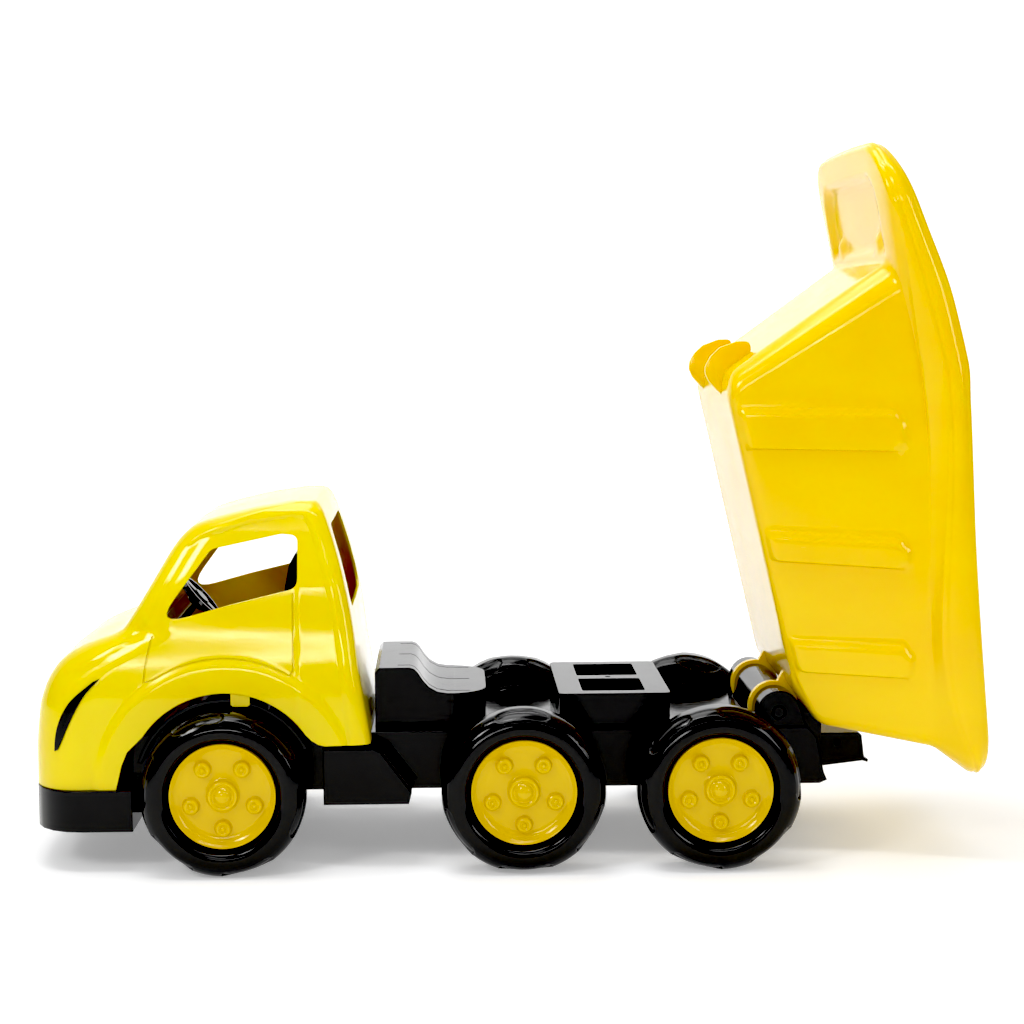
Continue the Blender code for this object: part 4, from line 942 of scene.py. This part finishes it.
def bed_ring(front, rear, half_width, corner, height, climb=None, bow=0.0, rear_corner=None):
    """Half of one ring of the tub, from the middle of the front to the middle of the rear.

    With a climb, the points of the side follow the slant of the ribs instead of lying evenly spaced.
    """
    ring = []
    for step in range(FRONT_STEPS):
        t = step / FRONT_STEPS
        x = front - bow * (1.0 - t * t)
        ring.append(Vector((x, (half_width - corner) * t, height(x))))
    for step in range(CORNER_STEPS + 1):
        angle = math.radians(90.0 * step / CORNER_STEPS)
        x = front + corner * (1.0 - math.cos(angle))
        ring.append(Vector((x, half_width - corner + corner * math.sin(angle), height(x))))
    rear_corner = rear_corner or corner
    start, end = front + corner, rear - rear_corner
    for place, _, _ in SIDE_COLUMNS:
        if climb is None:
            x = start + (end - start) * (place - SIDE_FRONT) / (SIDE_REAR - SIDE_FRONT)
        else:
            x = slanted_place(place, climb)
        ring.append(Vector((x, half_width, height(x))))
    for step in range(CORNER_STEPS + 1):
        angle = math.radians(90.0 * step / CORNER_STEPS)
        x = end + rear_corner * math.sin(angle)
        ring.append(Vector((x, half_width - rear_corner * (1.0 - math.cos(angle)), height(x))))
    for step in range(1, REAR_STEPS + 1):
        across = (half_width - rear_corner) * (1.0 - step / REAR_STEPS)
        ring.append(Vector((rear, across, height(rear))))
    return ring


def bed_controls():
    """The rings that the skin of the tub passes by, from the floor out to the lip of the rim.

    Each comes with the reach of the rounded turn at it and the number of rows that lead up to it.
    """

    def along(points, lift=0.0):
        return lambda x: smooth_lookup(points, x) + lift

    def rim(inset, points, lift, front_inset):
        height = along(points, lift)
        half_width = RIM_HALF_WIDTH - RIM_CROWN - inset
        front, rear = RIM_FRONT + front_inset, RIM_REAR - inset
        return bed_ring(front, rear, half_width, 56.0, height, bow=1.6, rear_corner=38.0)

    floor = bed_ring(-60.0, 214.0, FLOOR_HALF_WIDTH - 5.0, 12.0, lambda x: BED_FLOOR)
    heel = bed_ring(-78.0, 250.0, FLOOR_HALF_WIDTH, 20.0, along(HEEL), climb=0.0, rear_corner=12.0)
    height = along(WALL_TOP)
    top = bed_ring(-142.0, 289.0, WALL_TOP_HALF_WIDTH, 29.0, height, climb=WALL_CLIMB, rear_corner=14.0)
    return [
        (floor, 0.0, 1),
        (heel, 9.0, HEEL_ROWS),
        (top, 6.0, WALL_ROWS),
        (rim(1.2, RIM_LOW, 0.4, 2.0), 2.5, LEDGE_ROWS),
        (rim(0.0, RIM_LOW, 3.6, 0.0), 1.5, 1),
        (rim(0.6, RIM_HIGH, -3.6, 0.0), 2.0, BAND_ROWS),
        (rim(3.0, RIM_HIGH, -0.8, 2.0), 2.0, 1),
        (rim(5.0, RIM_HIGH, -1.4, 4.0), 0.0, 1),
    ]


# front, rear and half width of the panel
CANOPY_PANEL = (-219.0, -151.0, 116.0)
PANEL_CORNER = 30.0
PANEL_RISE = 7.0
BOSS_Y = 84.0


def canopy_relief(x, y):
    """The canopy has a panel sunk from below, with a small arched boss at its inner end on each side."""
    front, rear, half = CANOPY_PANEL
    corner = math.hypot(max(front + PANEL_CORNER - x, 0.0), max(y - half + PANEL_CORNER, 0.0))
    edge = min(x - front, rear - x, half - y, PANEL_CORNER - corner)
    boss = ease(math.hypot((x - rear) * 0.8, y - BOSS_Y), 17.0, 8.0)
    return PANEL_RISE * ease(edge, -2.0, 6.0) * (1.0 - 0.9 * boss)


def bed_column(controls, index):
    """One line of the skin from the floor to the lip, rounded where it turns."""
    corners = [ring[index] for ring, _, _ in controls]
    line = []
    for step, (_, reach, rows) in enumerate(controls):
        corner = corners[step]
        if step == 0:
            line.append(corner)
            continue
        before = corners[step - 1] - corner
        previous_reach = min(controls[step - 1][1], before.length * 0.42)
        own_reach = min(reach, before.length * 0.42)
        start = corner + before.normalized() * (before.length - previous_reach)
        end = corner + before.normalized() * own_reach
        line += [start.lerp(end, row / rows) for row in range(1, rows + 1)]
        if reach and step + 1 < len(corners):
            after = corners[step + 1] - corner
            last = corner + after.normalized() * min(reach, after.length * 0.42)
            for part in TURN_PARTS:
                line.append(end * (1 - part) ** 2 + corner * 2 * part * (1 - part) + last * part**2)
    return line


def shape_bed(controls, columns):
    """Works the ribs, the canopy's panel and the crown of the rim into the columns."""
    wall_start = 1 + HEEL_ROWS + TURN_ROWS
    rib_start = wall_start - RIB_LEAD_ROWS
    wall_end = wall_start + WALL_ROWS
    ledge_start = wall_end + TURN_ROWS
    ledge_end = ledge_start + LEDGE_ROWS
    band_start = ledge_end + TURN_ROWS + 1 + TURN_ROWS
    band_end = band_start + BAND_ROWS
    first_side = FRONT_STEPS + CORNER_STEPS + 1
    rim_ring = controls[4][0]
    for index, column in enumerate(columns):
        along = rim_ring[min(index + 1, len(rim_ring) - 1)] - rim_ring[max(index - 1, 0)]
        out = Vector((-along.y, along.x, 0.0)).normalized()
        on_side = first_side <= index < first_side + len(SIDE_COLUMNS)
        for row, point in enumerate(column):
            if on_side and rib_start <= row < wall_end:
                _, amount, across = SIDE_COLUMNS[index - first_side]
                up = (row - rib_start) / (WALL_ROWS + RIB_LEAD_ROWS - 1.0)
                limit = RIB_TOP - 0.05 * abs(across) ** 6
                rise = ease(up, limit, limit - 0.035)
                point.y += RIB_HEIGHT * amount * rise * ease(up, -0.03, 0.03)
            elif ledge_start <= row < ledge_end:
                point.z += canopy_relief(point.x, point.y)
            elif band_start <= row < band_end:
                part = (row - band_start + 0.5) / BAND_ROWS
                point += out * RIM_CROWN * (1.0 - (2.0 * part - 1.0) ** 2)


def bed_rows():
    """The rings of the tub's skin, from the middle of the floor out to the lip."""
    controls = bed_controls()
    columns = [bed_column(controls, index) for index in range(len(controls[0][0]))]
    shape_bed(controls, columns)
    rows = [[column[row] for column in columns] for row in range(len(columns[0]))]
    floor = rows[0]
    centre = Vector(((floor[0].x + floor[-1].x) / 2.0, 0.0, BED_FLOOR))
    closing = []
    for part in range(FLOOR_RINGS, 0, -1):
        closing.append([point.lerp(centre, part / FLOOR_RINGS) for point in floor])
    return closing + rows


def raise_bed(mesh):
    """Turns a piece drawn level about the hinge pin to its raised place."""
    mesh.transform(Matrix.Translation((origin_x - pin_x, 0.0, -pin_z)))
    mesh.transform(Matrix.Rotation(math.radians(RAISED_ANGLE), 4, "Y"))
    mesh.transform(Matrix.Translation((pin_x, 0.0, pin_z)))


def make_tub():
    rows = [[tuple(point * MM) for point in row] for row in bed_rows()]
    tub = grid("bed_tub", rows)
    mirrored(tub)
    lowest = min(tub.data.polygons, key=lambda face: face.center.z)
    if lowest.normal.z > 0.0:
        tub.data.flip_normals()
    thickened(tub, BED_WALL)
    raise_bed(tub.data)
    smooth(tub, 50.0)
    dress(tub, "bed_yellow", "bed", "dump_bed")


def make_hinge_arm(side, direction):
    """An arm under the tub's floor that ends in a round eye on the pin."""
    pivot = (pin_x - origin_x) / MM, pin_z / MM
    line = arc(pivot, ARM_RADIUS, 158.0, 460.0, 60)
    line += [(216.5, 147.6), (204.0, 147.6), (207.5, 144.0)]
    middle, half = direction * ARM_Y, ARM_THICKNESS / 2.0
    arm = plate("hinge_arm_" + side, line, "Y", middle - half, middle + half)
    bore = plate("bore", arc(pivot, PIN_BORE_RADIUS, 0.0, 352.5, 47), "Y", -100.0, 100.0)
    boolean(arm, bore, "DIFFERENCE")
    bake(arm)
    bpy.data.objects.remove(bore, do_unlink=True)
    weld(arm.data)
    round_off(arm, 0.9, 40.0)
    raise_bed(arm.data)
    smooth(arm, 40.0)
    dress(arm, "bed_yellow", "bed")


def make_foot(side, direction):
    """A foot at the front of the tub's floor."""
    line = [(-88.0, 181.0), (-99.0, 182.0), (-101.5, 170.0), (-99.5, 154.0), (-93.5, 144.0)]
    line += [(-86.0, 137.5), (-80.0, 136.0), (-72.0, 137.5), (-63.0, 142.5), (-56.0, 147.4)]
    line += [(-61.0, 149.0), (-75.0, 155.5)]
    middle, half = direction * FOOT_Y, FOOT_THICKNESS / 2.0
    foot = plate("bed_foot_" + side, rounded(line, 9.0, 5), "Y", middle - half, middle + half)
    round_off(foot, 1.2, 40.0)
    raise_bed(foot.data)
    smooth(foot, 40.0)
    dress(foot, "bed_yellow", "bed")


def make_bed():
    make_tub()
    for side, direction in SIDES:
        make_hinge_arm(side, direction)
        make_foot(side, direction)


# ---------------------------------------------------------------- carried-over CAD pieces


def smooth_by_angle():
    """A node group that shades a CAD mesh smooth, but keeps edges over 32 degrees crisp."""
    group = bpy.data.node_groups.new("smooth_by_angle", "GeometryNodeTree")
    group.interface.new_socket("Geometry", in_out="INPUT", socket_type="NodeSocketGeometry")
    group.interface.new_socket("Geometry", in_out="OUTPUT", socket_type="NodeSocketGeometry")
    start = group.nodes.new("NodeGroupInput")
    end = group.nodes.new("NodeGroupOutput")
    faces = group.nodes.new("GeometryNodeSetShadeSmooth")
    faces.domain = "FACE"
    edges = group.nodes.new("GeometryNodeSetShadeSmooth")
    edges.domain = "EDGE"
    angle = group.nodes.new("GeometryNodeInputMeshEdgeAngle")
    compare = group.nodes.new("FunctionNodeCompare")
    compare.data_type = "FLOAT"
    compare.operation = "LESS_THAN"
    compare.inputs[1].default_value = math.radians(32.0)
    group.links.new(start.outputs[0], faces.inputs["Geometry"])
    group.links.new(faces.outputs[0], edges.inputs["Geometry"])
    group.links.new(angle.outputs["Unsigned Angle"], compare.inputs[0])
    group.links.new(compare.outputs[0], edges.inputs["Shade Smooth"])
    group.links.new(edges.outputs[0], end.inputs[0])
    return group


def dress_cad_nodes():
    """Gives every CAD node still shown the material of its slot, and smooth shading on its round parts."""
    shading = smooth_by_angle()
    for part in frame["record"]["subparts"]:
        piece = frame["nodes"][part["node"]]
        if piece.hide_render:
            continue
        piece.data.materials.clear()
        piece.data.materials.append(SKINS[part["material_slot"]])
        seams = piece.modifiers.new("weld", "WELD")
        seams.merge_threshold = 0.000005
        piece.modifiers.new("shading", "NODES").node_group = shading


# ---------------------------------------------------------------- stage, light and camera


FLOOR_Z = -0.0004
FLOOR_HALF_LENGTH = 6.0
SWEEP_START = 2.0
SWEEP_RADIUS = 1.5


def pale_floor():
    skin = bpy.data.materials.new("pale_floor")
    skin.use_nodes = True
    tree = skin.node_tree
    shader = tree.nodes["Principled BSDF"]
    shader.inputs["Roughness"].default_value = 0.75
    shader.inputs["Specular IOR Level"].default_value = 0.2
    shader.inputs["Emission Color"].default_value = (1.0, 1.0, 1.0, 1.0)
    shader.inputs["Emission Strength"].default_value = 0.30
    patches = spread(tree, noise(tree, 1.5, 2.0), 0.0, 1.0)
    tone = tinted(tree, patches, (0.88, 0.88, 0.88), (0.86, 0.86, 0.865))
    tree.links.new(tone, shader.inputs["Base Color"])
    return skin


def make_stage():
    """A pale floor that sweeps up into a wall behind."""
    rows = []
    back = SWEEP_START + SWEEP_RADIUS
    for x in (-FLOOR_HALF_LENGTH, FLOOR_HALF_LENGTH):
        row = [(x, -2.6, FLOOR_Z), (x, SWEEP_START, FLOOR_Z)]
        for turn in (0.2, 0.4, 0.6, 0.8, 1.0, 1.2, 1.4):
            y = SWEEP_START + SWEEP_RADIUS * math.sin(turn)
            row.append((x, y, SWEEP_RADIUS - SWEEP_RADIUS * math.cos(turn)))
        row += [(x, back, 1.8), (x, back, 5.0)]
        rows.append(row)
    sweep = grid("floor", rows)
    for face in sweep.data.polygons:
        face.use_smooth = True
    sweep.data.materials.append(pale_floor())


def area_light(name, place, target, size, power, roll=0.0):
    """A rectangular light aimed at the target, turned about its own direction by roll degrees."""
    light = bpy.data.lights.new(name, "AREA")
    light.shape = "RECTANGLE"
    light.size, light.size_y = size
    light.energy = power
    lamp = bpy.data.objects.new(name, light)
    bpy.context.scene.collection.objects.link(lamp)
    aim = (Vector(target) - Vector(place)).to_track_quat("-Z", "Y").to_matrix().to_4x4()
    lamp.matrix_world = Matrix.Translation(place) @ aim @ Matrix.Rotation(math.radians(roll), 4, "Z")


def make_lights():
    """Soft boxes round the truck, and a world that is brighter above than below."""
    middle = (0.0, 0.0, 0.25)
    area_light("top_softbox", (-0.3, 0.1, 2.0), middle, (1.5, 0.8), 13.5)
    area_light("key_softbox", (-1.3, -1.5, 1.5), middle, (0.5, 0.5), 11.0)
    area_light("fill_softbox", (1.6, -1.7, 0.9), middle, (0.4, 0.9), 5.5)
    area_light("strip_softbox", (-0.55, -2.7, 0.62), (-0.26, 0.0, 0.22), (0.85, 0.18), 5.0, 24.0)
    area_light("top_strip", (-0.2, -0.5, 1.9), middle, (2.2, 0.05), 6.0)
    area_light("front_strip", (0.2, -2.2, 1.6), middle, (1.8, 0.03), 2.2)
    area_light("wall_softbox", (0.0, 1.4, 2.4), (0.0, 3.2, 0.8), (3.0, 0.6), 40.0)
    world = bpy.data.worlds.new("studio")
    bpy.context.scene.world = world
    world.use_nodes = True
    tree = world.node_tree
    where = tree.nodes.new("ShaderNodeTexCoord")
    parts = tree.nodes.new("ShaderNodeSeparateXYZ")
    tree.links.new(where.outputs["Generated"], parts.inputs["Vector"])
    rise = spread(tree, parts.outputs["Z"], 0.10, 0.62, 0.05, 0.9)
    tree.links.new(rise, tree.nodes["Background"].inputs["Strength"])
    tree.nodes["Background"].inputs["Color"].default_value = (1.0, 1.0, 1.0, 1.0)


def set_view():
    """Plain colour response with slightly deepened blacks, as in a studio product shot."""
    view = bpy.context.scene.view_settings
    view.view_transform = "Standard"
    view.use_curve_mapping = True
    view.curve_mapping.black_level = (BLACK_LEVEL, BLACK_LEVEL, BLACK_LEVEL)
    view.curve_mapping.update()


def make_camera():
    """A view nearly side-on from the truck's left, a little above it."""
    yaw, pitch, roll = math.radians(1.9), math.radians(5.67), math.radians(0.30)
    forward = Vector((math.sin(yaw) * math.cos(pitch), math.cos(yaw) * math.cos(pitch), -math.sin(pitch)))
    right = forward.cross(Vector((0.0, 0.0, 1.0))).normalized()
    up = right.cross(forward)
    turned_right = right * math.cos(roll) - up * math.sin(roll)
    turned_up = up * math.cos(roll) + right * math.sin(roll)
    lens = bpy.data.cameras.new("camera")
    lens.lens = 71.5
    lens.sensor_width = 36.0
    lens.clip_end = 50.0
    camera = bpy.data.objects.new("camera", lens)
    bpy.context.scene.collection.objects.link(camera)
    turn = Matrix((turned_right, turned_up, -forward)).transposed().to_4x4()
    camera.matrix_world = Matrix.Translation((origin_x - 0.0678, -1.910, 0.4963)) @ turn
    bpy.context.scene.camera = camera


make_cab()
make_leaves()
make_wheels()
make_bed()
dress_cad_nodes()
make_stage()
make_lights()
make_camera()
set_view()
